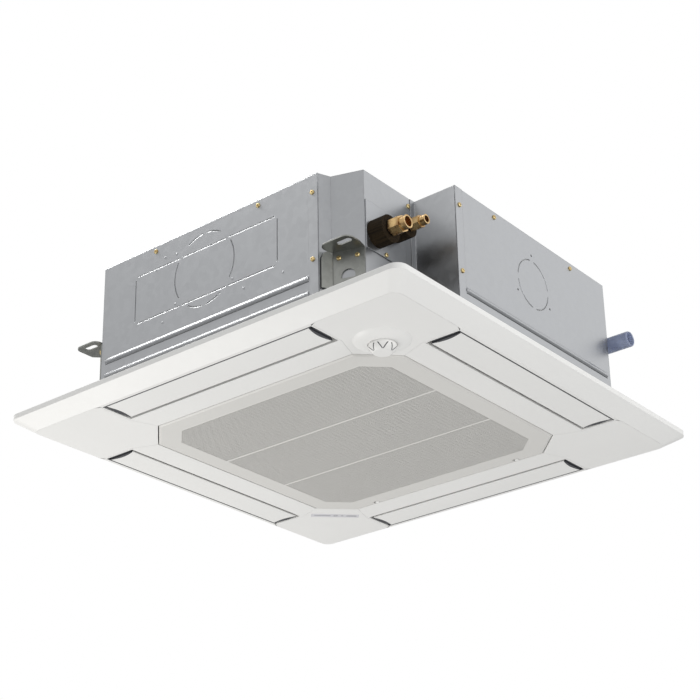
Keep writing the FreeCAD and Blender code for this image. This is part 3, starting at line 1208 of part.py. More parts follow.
def drain():
    port_end = s.pump_out + s.pump_radius + s.pump_port_reach
    start = s.pump_out + s.pump_radius + s.seat_gap
    tube = rod("drain_tube", s.drain_radius, s.drain_tip - start, start, s.drain_out, s.drain_level, tilt=ALONG_X)
    ring = rod("drain_ring", s.drain_collar, s.drain_collar_length, s.drain_collar_start, s.drain_out, s.drain_level,
               tilt=ALONG_X)
    bore = rod("drain_tube_bore", s.drain_bore, s.drain_tip - start + s.overrun * 2, start - s.overrun, s.drain_out,
               s.drain_level, tilt=ALONG_X)
    part("drain_socket", cut("drain_socket_shape", fuse("drain_socket_blank", tube, ring), bore))
    case = rod("pump_case", s.pump_radius, s.pump_top - pan_top, s.pump_out, s.pump_out, pan_top)
    port = rod("pump_port_tube", s.pump_port, port_end - s.pump_out, s.pump_out, s.drain_out, s.drain_level,
               tilt=ALONG_X)
    part("drain_pump", fuse("drain_pump_shape", case, port))
    foot = rod("float_foot", s.stem_foot, s.stem_foot_height, s.stem_x, s.stem_y, pan_top)
    stem = rod("float_stem_rod", s.stem_radius, s.stem_height, s.stem_x, s.stem_y, pan_top)
    cap = rod("float_cap", s.stem_foot, s.stem_cap_height, s.stem_x, s.stem_y, pan_top + s.stem_height)
    part("float_stem", fuse("float_stem_shape", foot, stem, cap))
    rest = pan_top + s.stem_foot_height + s.seat_gap
    bob = rod("float_bob", s.float_radius, s.float_height, s.stem_x, s.stem_y, rest)
    hole = rod("float_hole", s.stem_radius + s.running, s.float_height + s.overrun * 2, s.stem_x, s.stem_y,
               rest - s.overrun)
    part("drain_float", cut("drain_float_shape", bob, hole))


# Control box beside the bell mouth

def control_box():
    half = s.box_length / 2
    far = s.box_near + s.box_width
    low = s.body_bottom - s.box_depth
    roof = s.body_bottom - s.box_wall
    block = box("box_block", -half, half, s.box_near, far, low, s.body_bottom)
    room = box("box_room", s.box_wall - half, half - s.box_wall, s.box_near + s.box_wall, far - s.box_wall,
               low - s.overrun, roof)
    part("control_box", cut("control_box_shape", block, room))
    part("control_box_cover", box("box_cover", -half, half, s.box_near, far, low - s.cover_thick, low))
    board_low = roof - s.board_drop - s.board_thick
    start = s.board_margin + s.box_wall - half
    near = s.box_near + s.box_wall + s.board_margin
    back = far - s.box_wall - s.board_margin
    board = box("board_plate", start, start + s.board_length, near, back, board_low, board_low + s.board_thick)
    posts = [rod(f"board_post_{x_side}_{y_side}", s.board_post, s.board_drop,
                 start + s.board_margin + (s.board_length - s.board_margin * 2) * x_side,
                 near + s.board_margin + (back - near - s.board_margin * 2) * y_side, board_low + s.board_thick)
             for x_side in (0, 1) for y_side in (0, 1)]
    part("circuit_board", fuse("circuit_board_shape", board, *posts))
    end = half - s.box_wall - s.board_margin
    middle = (near + back) / 2
    part("terminal_block", box("terminal_blank", end - s.terminal_length, end, middle - s.terminal_width / 2,
                               middle + s.terminal_width / 2, roof - s.terminal_height, roof))


# Build, check and write every sub-part

cabinet = flat_sketch("cabinet_plan", cabinet_outline())
panel_frame()
corner_covers()
sensor()
intake_grille()
grille_catches()
air_filter()
vanes()
vane_motors()
screw_holes = screws()
side_plates(screw_holes)
corner_plates(cabinet, screw_holes)
top_plate(cabinet, screw_holes)
hanger_brackets(screw_holes)
foam_liner(cabinet)
drain_pan(cabinet)
coil()
bell_mouth()
turbo_fan()
fan_motor()
connections()
drain()
control_box()
doc.recompute()

for item in doc.Objects:
    if "Invalid" in item.State or "Error" in item.State:
        raise RuntimeError(f"{item.Name} did not rebuild: {item.State}")
for label, item in PARTS.items():
    if item.Shape.isNull() or not item.Shape.isValid():
        raise RuntimeError(f"{label} has no valid shape")

os.makedirs("parts", exist_ok=True)
for label, item in PARTS.items():
    item.Shape.exportStep(os.path.join("parts", label + ".step"))
print(len(PARTS), "sub-parts written")
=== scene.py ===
# %% [markdown]
# # A ceiling cassette air conditioner
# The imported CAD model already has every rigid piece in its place, in metres. This lesson gives each piece
# a finish, adds the fine pieces that a solid model leaves out, and sets up the light and the camera.

# %% Load the frame
import bpy
import bmesh
import json
import math
from mathutils import Matrix, Vector


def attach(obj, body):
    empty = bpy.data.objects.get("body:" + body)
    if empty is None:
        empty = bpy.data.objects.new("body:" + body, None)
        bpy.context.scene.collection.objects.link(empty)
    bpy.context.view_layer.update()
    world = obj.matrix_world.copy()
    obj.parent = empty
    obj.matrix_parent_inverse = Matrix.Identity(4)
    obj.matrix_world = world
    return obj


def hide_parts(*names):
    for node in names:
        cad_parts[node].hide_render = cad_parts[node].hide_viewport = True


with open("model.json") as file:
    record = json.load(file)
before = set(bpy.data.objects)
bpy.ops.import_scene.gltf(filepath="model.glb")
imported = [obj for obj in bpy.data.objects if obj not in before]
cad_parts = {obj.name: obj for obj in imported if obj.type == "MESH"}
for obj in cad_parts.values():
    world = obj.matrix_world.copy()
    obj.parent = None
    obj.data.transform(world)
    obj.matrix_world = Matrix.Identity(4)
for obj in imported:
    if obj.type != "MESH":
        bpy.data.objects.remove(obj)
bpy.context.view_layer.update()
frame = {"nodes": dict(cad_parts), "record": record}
MM = 0.001

# %% [markdown]
# ## Camera
# The photograph looks up at the panel from the front right. The lens, place and turn were worked out by
# fitting corners of the panel and cabinet to their pixels. A camera could also be aimed with a constraint,
# but writing its three axes as a matrix keeps the small roll that the fit found.

# %% Camera at the photograph's angle
turn = math.radians(38.508)
rise = math.radians(-23.226)
roll = math.radians(-1.222)
backward = Vector((math.sin(turn) * math.cos(rise), -math.cos(turn) * math.cos(rise), math.sin(rise)))
level_right = Vector((math.cos(turn), math.sin(turn), 0))
level_up = level_right.cross(-backward)
camera_right = level_right * math.cos(roll) + level_up * math.sin(roll)
camera_up = level_up * math.cos(roll) - level_right * math.sin(roll)
camera = bpy.data.objects.new("camera", bpy.data.cameras.new("camera"))
bpy.context.scene.collection.objects.link(camera)
axes = Matrix((camera_right, camera_up, backward)).transposed()
camera.matrix_world = Matrix.Translation(Vector((1907.3, -2397.1, -1323.6)) * MM) @ axes.to_4x4()
camera.data.sensor_width = 36
camera.data.lens = 87.1
camera.data.shift_x = -0.0076
camera.data.shift_y = 0.113
camera.data.clip_end = 100
bpy.context.scene.camera = camera
bpy.context.scene.view_settings.view_transform = "Standard"
print("camera", [round(v, 2) for v in camera.location])

# %% [markdown]
# ## Light and floor
# The unit hangs high, so the floor lies well below it, and below any camera that looks up at it. The world
# is white where the camera, a mirror-like surface or clear plastic looks at it, and a softer light elsewhere.
# One large lamp low on the left lights the underside, a small level one draws bright lines on the folded
# edges, two open the pipe side and a last one lights the top and the beads.

# %% World, white to look at and soft as a light
world = bpy.data.worlds.new("studio")
bpy.context.scene.world = world
world.use_nodes = True
sky = world.node_tree.nodes
sky.clear()
wire = world.node_tree.links
path = sky.new("ShaderNodeLightPath")
seen = sky.new("ShaderNodeMath")
seen.operation = "MAXIMUM"
seen_too = sky.new("ShaderNodeMath")
seen_too.operation = "MAXIMUM"
wire.new(path.outputs["Is Camera Ray"], seen.inputs[0])
wire.new(path.outputs["Is Glossy Ray"], seen.inputs[1])
wire.new(seen.outputs[0], seen_too.inputs[0])
wire.new(path.outputs["Is Transmission Ray"], seen_too.inputs[1])
soft = sky.new("ShaderNodeBackground")
soft.inputs["Color"].default_value = (0.97, 0.985, 1, 1)
soft.inputs["Strength"].default_value = 0.5
white = sky.new("ShaderNodeBackground")
white.inputs["Color"].default_value = (1, 1, 1, 1)
white.inputs["Strength"].default_value = 1
either = sky.new("ShaderNodeMixShader")
wire.new(seen_too.outputs[0], either.inputs[0])
wire.new(soft.outputs[0], either.inputs[1])
wire.new(white.outputs[0], either.inputs[2])
wire.new(either.outputs[0], sky.new("ShaderNodeOutputWorld").inputs["Surface"])
print("world nodes", len(sky))


# %% Five soft lamps
def soft_lamp(name, place, aim, side, power, tint):
    lamp = bpy.data.objects.new(name, bpy.data.lights.new(name, "AREA"))
    lamp.data.shape = "SQUARE"
    lamp.data.size = side
    lamp.data.energy = power
    lamp.data.color = tint
    lamp.location = place
    lamp.rotation_euler = (Vector(aim) - Vector(place)).to_track_quat("-Z", "Y").to_euler()
    bpy.context.scene.collection.objects.link(lamp)
    return lamp


soft_lamp("key_lamp", (-1.7, -0.8, -1.95), (0, 0, 0.05), 1.5, 34, (1, 0.985, 0.96))
soft_lamp("edge_lamp", (-1.3, -2.6, -0.25), (0, -0.4, 0.15), 0.7, 1.5, (1, 1, 1))
soft_lamp("fill_lamp", (2.9, -0.5, -0.5), (0, 0, 0.1), 1.4, 30, (1, 1, 1))
soft_lamp("side_lamp", (2.0, 2.5, 1.9), (0.3, 0, 0.15), 2.8, 10, (1, 1, 1))
soft_lamp("top_lamp", (-1.7, -0.75, 2.5), (-0.1, -0.2, 0.1), 0.9, 45, (1, 0.99, 0.97))

# %% [markdown]
# ## Finishes
# Every finish is a Principled shader with procedural textures that read the object's own coordinates, so
# they stay with a piece when it moves. A small class keeps the node wiring readable.


# %% A finish and its texture nodes
class Finish:
    """One procedural finish: a Principled shader and the texture nodes that feed it."""

    def __init__(self, name, colour, roughness, metallic=0.0):
        self.material = bpy.data.materials.new(name)
        self.material.use_nodes = True
        self.nodes = self.material.node_tree.nodes
        self.links = self.material.node_tree.links
        self.shader = self.nodes["Principled BSDF"]
        self.shader.inputs["Base Color"].default_value = (*colour, 1)
        self.shader.inputs["Roughness"].default_value = roughness
        self.shader.inputs["Metallic"].default_value = metallic
        self.place = self.nodes.new("ShaderNodeTexCoord").outputs["Object"]

    def stretch(self, x, y, z):
        mapping = self.nodes.new("ShaderNodeMapping")
        mapping.inputs["Scale"].default_value = (x, y, z)
        self.links.new(self.place, mapping.inputs["Vector"])
        return mapping.outputs["Vector"]

    def noise(self, scale, detail=3.0, place=None):
        texture = self.nodes.new("ShaderNodeTexNoise")
        texture.inputs["Scale"].default_value = scale
        texture.inputs["Detail"].default_value = detail
        self.links.new(place or self.place, texture.inputs["Vector"])
        return texture.outputs["Fac"]

    def cells(self, scale, output="Color", feature="F1"):
        texture = self.nodes.new("ShaderNodeTexVoronoi")
        texture.feature = feature
        texture.inputs["Scale"].default_value = scale
        self.links.new(self.place, texture.inputs["Vector"])
        return texture.outputs[output]

    def bands(self, scale, direction):
        texture = self.nodes.new("ShaderNodeTexWave")
        texture.bands_direction = direction
        texture.inputs["Scale"].default_value = scale
        self.links.new(self.place, texture.inputs["Vector"])
        return texture.outputs["Fac"]

    def math(self, operation, first, second):
        node = self.nodes.new("ShaderNodeMath")
        node.operation = operation
        for socket, value in zip(node.inputs, (first, second)):
            if isinstance(value, (int, float)):
                socket.default_value = value
            else:
                self.links.new(value, socket)
        return node.outputs[0]

    def ramp(self, factor, *stops):
        node = self.nodes.new("ShaderNodeValToRGB")
        while len(node.color_ramp.elements) < len(stops):
            node.color_ramp.elements.new(0.5)
        for element, (position, colour) in zip(node.color_ramp.elements, stops):
            element.position = position
            element.color = (*colour, 1)
        self.links.new(factor, node.inputs["Fac"])
        return node.outputs["Color"]

    def colour(self, factor, *stops):
        self.links.new(self.ramp(factor, *stops), self.shader.inputs["Base Color"])
        return self

    def rough(self, factor, low, high):
        node = self.nodes.new("ShaderNodeMapRange")
        node.inputs["To Min"].default_value = low
        node.inputs["To Max"].default_value = high
        self.links.new(factor, node.inputs["Value"])
        self.links.new(node.outputs["Result"], self.shader.inputs["Roughness"])
        return self

    def bump(self, height, strength, depth, rounding=0.0):
        node = self.nodes.new("ShaderNodeBump")
        node.inputs["Strength"].default_value = strength
        node.inputs["Distance"].default_value = depth
        self.links.new(height, node.inputs["Height"])
        if rounding:
            edge = self.nodes.new("ShaderNodeBevel")
            edge.inputs["Radius"].default_value = rounding
            self.links.new(edge.outputs["Normal"], node.inputs["Normal"])
        self.links.new(node.outputs["Normal"], self.shader.inputs["Normal"])
        return self


def around(colour, spread):
    """Two tones a little darker and a little lighter than a colour."""
    return [tuple(min(1, max(0, c * (1 + side * spread))) for c in colour) for side in (-1, 1)]


finishes = {}

# %% [markdown]
# ### Moulded plastics
# The panel is injection moulded in a warm white with a satin skin. Real mouldings have a faint orange peel
# and slow drifts in tone, so a fine noise lifts the surface and a broad one shifts the colour.

# %% Panel, grille and other mouldings
def moulded(slot, colour, roughness, grain=700, peel=0.05, drift=0.012, rounding=0.0008):
    made = Finish(slot, colour, roughness)
    dark, light = around(colour, drift)
    made.colour(made.noise(5, 4), (0.3, dark), (0.7, light))
    made.rough(made.noise(60, 3), roughness - 0.05, roughness + 0.05)
    made.bump(made.noise(grain, 2), peel, 0.0003, rounding)
    finishes[slot] = made.material
    return made


moulded("panel_white", (0.850, 0.842, 0.820), 0.42)
moulded("grille_white", (0.695, 0.682, 0.652), 0.5)
moulded("pump_plastic", (0.80, 0.80, 0.78), 0.5)
moulded("dark_plastic", (0.045, 0.046, 0.052), 0.45, grain=500, peel=0.12, drift=0.1)
moulded("float_foam", (0.16, 0.16, 0.16), 0.85, grain=400, peel=0.4, drift=0.15)
moulded("rubber_mount", (0.03, 0.03, 0.03), 0.8, grain=300, peel=0.25, drift=0.2)
print("mouldings", sorted(finishes))

# %% [markdown]
# ### Sheet steel
# Galvanised sheet shows its zinc crystals as a faint patchwork. A Voronoi texture gives each crystal its own
# tone and gloss, and long fine noise adds the rolling direction. Folds in sheet are never sharp, so the
# Bevel node rounds them in the shading alone. The brackets are thicker zinc-plated steel with a duller,
# browner patina.

# %% Galvanised sheet and zinc plate
def sheet_steel(slot, colour, roughness, crystal, spread, rounding=0.0006):
    made = Finish(slot, colour, roughness, metallic=1.0)
    patch = made.cells(crystal)
    dark, light = around(colour, spread)
    streak = made.noise(40, 2, made.stretch(1, 1, 0.06))
    both = made.math("ADD", made.math("MULTIPLY", patch, 0.6), made.math("MULTIPLY", streak, 0.4))
    made.colour(both, (0.25, dark), (0.75, light))
    made.rough(both, roughness - 0.05, roughness + 0.05)
    made.bump(made.noise(350, 3), 0.03, 0.0003, rounding)
    finishes[slot] = made.material
    return made


sheet_steel("galvanised", (0.345, 0.353, 0.365), 0.35, 85, 0.03, 0.0025)
sheet_steel("zinc_bracket", (0.270, 0.275, 0.260), 0.40, 140, 0.08)
sheet_steel("steel", (0.50, 0.50, 0.51), 0.3, 300, 0.05)
print("steels ready")

# %% [markdown]
# ### Bright metals
# Yellow passivated screws shimmer between gold and rose, brass nuts carry fine turning marks, and copper
# darkens where it has been handled. All three are the same recipe with other tones and scales.

# %% Screws, nuts and copper
def bright_metal(slot, dark, light, roughness, patch, marks):
    made = Finish(slot, light, roughness, metallic=1.0)
    made.colour(made.noise(patch, 4), (0.32, dark), (0.62, light))
    turning = made.noise(60, 2, made.stretch(marks, 1, 1))
    made.rough(turning, roughness - 0.08, roughness + 0.12)
    made.bump(turning, 0.08, 0.0002, 0.0003)
    finishes[slot] = made.material
    return made


bright_metal("yellow_zinc", (0.42, 0.27, 0.10), (0.70, 0.58, 0.30), 0.34, 260, 1)
bright_metal("brass_nut", (0.32, 0.19, 0.085), (0.60, 0.42, 0.20), 0.28, 90, 30)
bright_metal("copper", (0.42, 0.19, 0.10), (0.76, 0.42, 0.27), 0.3, 30, 6)
print("bright metals ready")

# %% [markdown]
# ### Foams, net, fins and the small electrical finishes
# Bead foam is a pack of small round cells, the collar is wrapped cell foam with lengthwise ridges, the filter
# is a fine woven net, and the fin block is hundreds of thin plates that only show as lines.

# %% Foam and net
bead = Finish("foam", (0.80, 0.80, 0.79), 0.75)
bead_cell = bead.cells(210, "Distance")
bead.colour(bead_cell, (0.0, (0.84, 0.84, 0.83)), (0.75, (0.68, 0.68, 0.67)))
bead.bump(bead_cell, 0.5, 0.0008)
finishes["foam"] = bead.material

wrap = Finish("collar_foam", (0.032, 0.022, 0.010), 0.85)
ridge = wrap.noise(1, 3, wrap.stretch(14, 330, 330))
wrap.colour(ridge, (0.3, (0.008, 0.005, 0.0025)), (0.72, (0.034, 0.022, 0.010)))
wrap.bump(wrap.math("ADD", ridge, wrap.math("MULTIPLY", wrap.cells(420, "Distance"), 0.6)), 0.7, 0.0015)
wrap.shader.inputs["Specular IOR Level"].default_value = 0.15
finishes["collar_foam"] = wrap.material

net = Finish("filter_net", (0.19, 0.165, 0.15), 0.7)
weave = net.math("MAXIMUM", net.bands(220, "X"), net.bands(220, "Y"))
net.colour(weave, (0.25, (0.083, 0.055, 0.047)), (0.85, (0.225, 0.150, 0.130)))
net.bump(weave, 0.6, 0.0006)
finishes["filter_net"] = net.material

fins = Finish("coil_aluminium", (0.62, 0.63, 0.65), 0.35, metallic=1.0)
# The lines are the fins; the dark tone between them is painted shade in the gaps between the fins, and the
# same mask lifts the fins in the bump.
fin_and_gap_shade = fins.math("MAXIMUM", fins.bands(95, "X"), fins.bands(95, "Y"))
fins.colour(fin_and_gap_shade, (0.35, (0.16, 0.165, 0.17)), (0.8, (0.70, 0.71, 0.73)))
fins.bump(fin_and_gap_shade, 0.5, 0.0008)
finishes["coil_aluminium"] = fins.material
print("foams and net ready")

# %% Clear, painted and printed finishes
stub = Finish("drain_plastic", (0.28, 0.32, 0.50), 0.25)
stub.colour(stub.noise(45, 3), (0.3, (0.33, 0.38, 0.56)), (0.7, (0.46, 0.52, 0.70)))
stub.shader.inputs["Transmission Weight"].default_value = 0.3
stub.bump(stub.noise(220, 2), 0.08, 0.0004)
finishes["drain_plastic"] = stub.material

smoke = Finish("window", (0.70, 0.69, 0.72), 0.16)
smoke.colour(smoke.noise(30, 2), (0.3, (0.66, 0.65, 0.69)), (0.7, (0.74, 0.73, 0.75)))
smoke.shader.inputs["Coat Weight"].default_value = 0.5
smoke.bump(smoke.noise(500, 2), 0.03, 0.0002)
finishes["window"] = smoke.material

eye = Finish("lens", (0.012, 0.012, 0.018), 0.1)
eye.colour(eye.noise(80, 2), (0.3, (0.008, 0.008, 0.012)), (0.7, (0.03, 0.022, 0.035)))
eye.shader.inputs["Coat Weight"].default_value = 0.6
finishes["lens"] = eye.material

paint = Finish("motor_steel", (0.20, 0.205, 0.215), 0.4)
paint.colour(paint.noise(20, 4), (0.3, (0.17, 0.175, 0.185)), (0.7, (0.225, 0.23, 0.24)))
paint.bump(paint.noise(450, 2), 0.15, 0.0003, 0.0006)
finishes["motor_steel"] = paint.material

board = Finish("board_green", (0.04, 0.17, 0.07), 0.35)
track = board.math("MAXIMUM", board.bands(75, "X"), board.bands(110, "Y"))
board.colour(track, (0.86, (0.02, 0.12, 0.05)), (0.93, (0.08, 0.26, 0.11)))
board.bump(track, 0.2, 0.0002)
finishes["board_green"] = board.material
print(len(finishes), "finishes")

# %% Give every CAD node the finish of its slot
slot_of = {row["node"]: row["material_slot"] for row in frame["record"]["subparts"]}
for name, node in frame["nodes"].items():
    node.data.materials.clear()
    node.data.materials.append(finishes[slot_of[name]])
print(len(slot_of), "nodes dressed")


# %% [markdown]
# ## Fine pieces
# Small mesh pieces are built vertex by vertex with bmesh and collected in one object for each group. The
# helper below turns a finished bmesh into an object that rides on a body and takes the finish of a slot.

# %% From bmesh to a piece that rides on a body
def piece(name, mesh, body, slot, smooth_angle=None, stands_for=()):
    data = bpy.data.meshes.new(name)
    mesh.normal_update()
    mesh.to_mesh(data)
    mesh.free()
    made = bpy.data.objects.new(name, data)
    bpy.context.scene.collection.objects.link(made)
    data.materials.append(finishes[slot])
    if smooth_angle:
        data.polygons.foreach_set("use_smooth", [True] * len(data.polygons))
        data.set_sharp_from_angle(angle=math.radians(smooth_angle))
    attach(made, body)
    if stands_for:
        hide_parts(*stands_for)
    print(name, len(data.polygons), "faces")
    return made


def bar(mesh, low, high):
    """A thin box between two corners, in millimetres."""
    corner = [mesh.verts.new((x * MM, y * MM, z * MM)) for x in (low[0], high[0]) for y in (low[1], high[1])
              for z in (low[2], high[2])]
    for face in ((0, 1, 3, 2), (4, 6, 7, 5), (0, 4, 5, 1), (2, 3, 7, 6), (0, 2, 6, 4), (1, 5, 7, 3)):
        mesh.faces.new([corner[i] for i in face])


# %% [markdown]
# ### Slimmer rim of the panel
# The real panel ends in a thin rim and a long gentle slope up to it, with tight corners. The CAD panel has a
# taller rim and a short slope. Its mesh is copied corner by corner and the copy is bent: the rim's lower edge
# is lifted, the edge of the flat is drawn in, and the plan corners are tightened. The corner covers end on
# the same edge, so they go through the same bend. A Lattice could do it too, but with a softer edge.

# %% Bend copies of the panel frame and its corner covers
ARC = 435  # middle of every plan corner of the CAD panel, in millimetres
FACE, FOOT, HOLLOW = -32, -19, -29  # CAD levels of the flat, of the rim's foot and of the hollow's flat
FLAT_R, RIM_R, HOLLOW_R, HOLLOW_TOP_R = 26, 40, 20, 28  # CAD corner radii there and at the hollow's top
SLIM_FOOT = -10
SLIM_RIM, SLIM_FLAT, SLIM_HOLLOW = (453, 22), (423, 19), (423, 16)  # middle and radius of the new corners
KEPT = 439  # nothing inside this line moves
LEDGES = -24  # what is left below this level goes with the edge of the flat


def slimmer(spot):
    """Where a point of the CAD panel goes on the slimmer panel, in metres."""
    x, y, z = spot / MM
    a, b = abs(x), abs(y)
    out = Vector((max(a - ARC, 0), max(b - ARC, 0)))
    reach = out.length
    if reach < KEPT - ARC:
        return spot
    at_corner = min(a, b) > ARC - 0.1

    def place(middle, radius):
        if at_corner:
            return Vector((middle, middle)) + out / reach * radius
        return Vector((middle + radius, b) if a > b else (a, middle + radius))

    up_slope, up_hollow = (z - FACE) / (FOOT - FACE), 1 - z / HOLLOW
    if z > FOOT - 0.1 and reach > RIM_R - 0.6:
        a, b = place(*SLIM_RIM)
        z = z * SLIM_FOOT / FOOT
    elif z < FOOT + 0.1 and abs(reach - FLAT_R - (RIM_R - FLAT_R) * up_slope) < 1.2:
        a, b = place(*SLIM_FLAT).lerp(place(*SLIM_RIM), up_slope)
        z = FACE + (SLIM_FOOT - FACE) * up_slope
    elif abs(reach - HOLLOW_R - (HOLLOW_TOP_R - HOLLOW_R) * up_hollow) < 0.7:
        a, b = place(*SLIM_HOLLOW).lerp(place(ARC, HOLLOW_TOP_R), up_hollow)
    elif z < LEDGES and at_corner:
        a, b = place(SLIM_FLAT[0], reach * SLIM_FLAT[1] / FLAT_R)
    elif z < LEDGES:
        squeeze = (sum(SLIM_FLAT) - KEPT) / (ARC + FLAT_R - KEPT)
        a, b = place(KEPT, (ARC + reach - KEPT) * squeeze)
    return Vector((math.copysign(a, x), math.copysign(b, y), z)) * MM


def bent_copy(name, node_name, bend):
    """A piece made from a CAD node's corners and faces, each corner moved by a bend."""
    node = frame["nodes"][node_name]
    mesh = bmesh.new()
    corners = [mesh.verts.new(bend(node.matrix_world @ vertex.co)) for vertex in node.data.vertices]
    for polygon in node.data.polygons:
        mesh.faces.new([corners[i] for i in polygon.vertices])
    bmesh.ops.remove_doubles(mesh, verts=mesh.verts, dist=1e-6)
    bmesh.ops.dissolve_degenerate(mesh, edges=mesh.edges, dist=1e-6)
    return piece(name, mesh, "unit", slot_of[node_name], 25, [node_name])


bent_copy("panel_shell", "panel_frame", slimmer)
for corner in ("back_right", "indicator", "front_left", "sensor"):
    bent_copy("slim_cover_" + corner, "corner_cover_" + corner, slimmer)

# %% [markdown]
# ### Wall of the pipe corner
# The cut-out for the pipes is closed by a second sheet at its back, bent round the inner corner to lap the
# wall beside it. It is one bent line in plan, given the thickness of the sheet and pulled up to the top.

# %% Folded sheet behind the pipes
FOLD = ((420.6, -227.5), (331.6, -227.5), (330.2, -228.1), (329.6, -229.5), (329.6, -241))
HALF_SHEET, CASE_FOOT, CASE_TOP = 0.5, 17, 275
fold = [Vector(point) for point in FOLD]
fold_wall = bmesh.new()
loops = []
for before, here, after in zip(fold[:1] + fold, fold, fold[1:] + fold[-1:]):
    run = (after - before).normalized()
    off = Vector((-run.y, run.x)) * HALF_SHEET
    loops.append([fold_wall.verts.new(Vector((*spot, z)) * MM)
                  for spot, z in ((here - off, CASE_FOOT), (here + off, CASE_FOOT),
                                  (here + off, CASE_TOP), (here - off, CASE_TOP))])
for one, two in zip(loops, loops[1:]):
    for i in range(4):
        fold_wall.faces.new((one[i - 1], one[i], two[i], two[i - 1]))
fold_wall.faces.new(loops[0])
fold_wall.faces.new(loops[-1][::-1])
bmesh.ops.recalc_face_normals(fold_wall, faces=fold_wall.faces)
piece("pipe_corner_wall", fold_wall, "unit", "galvanised", 40)

# %% [markdown]
# ### Grille screen
# The intake is covered by a fine screen, so fine that the photograph only shows its tone. Crossing slats are
# modelled for real, because a flat texture would stay flat in a low view. Each bay keeps its cut corners.

# %% Crossing slats of the three bays
screen = bmesh.new()
half, clip, bay, slat, pitch = 260, 40, 169.33, 1.15, 3.25
bays = ((-half, bay - half), (-bay / 2, bay / 2), (half - bay, half))


def reach(across):
    """How far the mesh runs at a distance from its middle, with the cut corners taken off."""
    return half - max(0, abs(across) - (half - clip))


count = round(2 * half / pitch)
for step in range(1, count):
    x = step * pitch - half
    for low, high in bays:
        low, high = max(low, -reach(x)), min(high, reach(x))
        bar(screen, (x - slat / 2, low, -33.9), (x + slat / 2, high, -33.0))
for low, high in bays:
    lines = round((high - low) / pitch)
    for step in range(1, lines):
        y = low + step * (high - low) / lines
        bar(screen, (-reach(y), y - slat / 2, -33.8), (reach(y), y + slat / 2, -32.9))
piece("grille_screen", screen, "grille", "grille_white")

# %% [markdown]
# ### Screws
# A pan-head screw is a turned dome with a cross recess. The dome is a few rings of vertices; the recess is
# the same ring drawn as a plus sign and pushed inwards. One screw is drawn and copied to each place.


# %% One pan-head screw with a cross recess
def plus_radius(angle, arm, width):
    c, s = abs(math.cos(angle)) + 1e-9, abs(math.sin(angle)) + 1e-9
    return max(min(arm / c, width / s), min(width / c, arm / s))


def add_screw(mesh, spot, outward, radius=4.5, height=2.6, sides=40):
    """Draws a screw head on a face at a point, in millimetres, along its outward direction."""
    frame_of = Vector(outward).to_track_quat("Z", "Y").to_matrix()

    def ring(size, lift):
        made = []
        for i in range(sides):
            angle = 2 * math.pi * i / sides
            r = size(angle) if callable(size) else size
            step = Vector((r * math.cos(angle), r * math.sin(angle), lift))
            made.append(mesh.verts.new((Vector(spot) + frame_of @ step) * MM))
        return made

    rings = [ring(radius, 0), ring(radius, height * 0.35), ring(radius * 0.93, height * 0.7),
             ring(radius * 0.76, height * 0.93), ring(radius * 0.58, height),
             ring(lambda a: plus_radius(a, radius * 0.47, radius * 0.11), height),
             ring(lambda a: plus_radius(a, radius * 0.40, radius * 0.09), height * 0.35)]
    for low, high in zip(rings, rings[1:]):
        for i in range(sides):
            mesh.faces.new((low[i], low[i - 1], high[i - 1], high[i]))
    mesh.faces.new(rings[-1])


def case_screw_spots():
    """Screws along the top edge of each side, the two laps of the pipe corner, and its inner wall."""
    spots = []
    for x in (-130, 130):
        spots.append(((x, 420, 263), (0, 1, 0)))
        spots.append(((-420, x, 263), (-1, 0, 0)))
    for x in (120, -140):
        spots.append(((x, -420, 263), (0, -1, 0)))
    for y in (156.5, -103.5):
        spots.append(((420, y, 263), (1, 0, 0)))
    for z in (105, 239):
        spots.append(((249, -421, z), (0, -1, 0)))
        spots.append(((421, -216, z), (1, 0, 0)))
    spots.append(((329, -246, 258), (1, 0, 0)))
    spots.append(((331, -318, 126), (1, 0, 0)))
    return spots


case_screws = bmesh.new()
for spot, outward in case_screw_spots():
    add_screw(case_screws, spot, outward)
piece("case_screw_heads", case_screws, "unit", "yellow_zinc", 35, ["cabinet_screws"])

# %% Screws of the four hanger brackets
BRACKET_FACE, PIPE_BRACKET_FACE = ((287, 413), (330, 370)), ((270, 395), (329, 375))
BRACKET_SHEET, SCREW_LEVEL, SCREW_SPREAD = 2.5, 106, 0.55
bracket_heads = bmesh.new()
for sign_x, sign_y, face in ((-1, -1, BRACKET_FACE), (-1, 1, BRACKET_FACE), (1, 1, BRACKET_FACE),
                             (1, -1, PIPE_BRACKET_FACE)):
    near, far = [Vector(edge) for edge in face]
    run = far - near
    out = Vector((-run.y, run.x)).normalized()
    for side in (-1, 1):
        spot = (near + far) / 2 + run * (SCREW_SPREAD / 2 * side) + out * BRACKET_SHEET
        place = (spot.x * sign_x, spot.y * sign_y, SCREW_LEVEL)
        add_screw(bracket_heads, place, (out.x * sign_x, out.y * sign_y, 0))
piece("bracket_screw_heads", bracket_heads, "unit", "yellow_zinc", 35, ["bracket_screws"])

# %% [markdown]
# ### Punch marks on the front plate
# Small locating bumps are pressed into the front sheet beside the duct opening. Each is a low dome of a few
# rings, which catches the light as a dot; a bump texture would vanish at this size.


# %% Low domes on the front plate
def add_dome(mesh, spot, outward, radius, height, sides=20):
    """A low round dome on a face at a point, in millimetres, along its outward direction."""
    turn_of = Vector(outward).to_track_quat("Z", "Y").to_matrix()
    rings = []
    for share in (1.0, 0.9, 0.68, 0.36):
        lift = height * math.sqrt(1 - share * share)
        reach_out = radius * share
        steps = [Vector((reach_out * math.cos(a), reach_out * math.sin(a), lift))
                 for a in [2 * math.pi * i / sides for i in range(sides)]]
        rings.append([mesh.verts.new((Vector(spot) + turn_of @ step) * MM) for step in steps])
    for low, high in zip(rings, rings[1:]):
        for i in range(sides):
            mesh.faces.new((low[i - 1], low[i], high[i], high[i - 1]))
    mesh.faces.new(rings[-1])


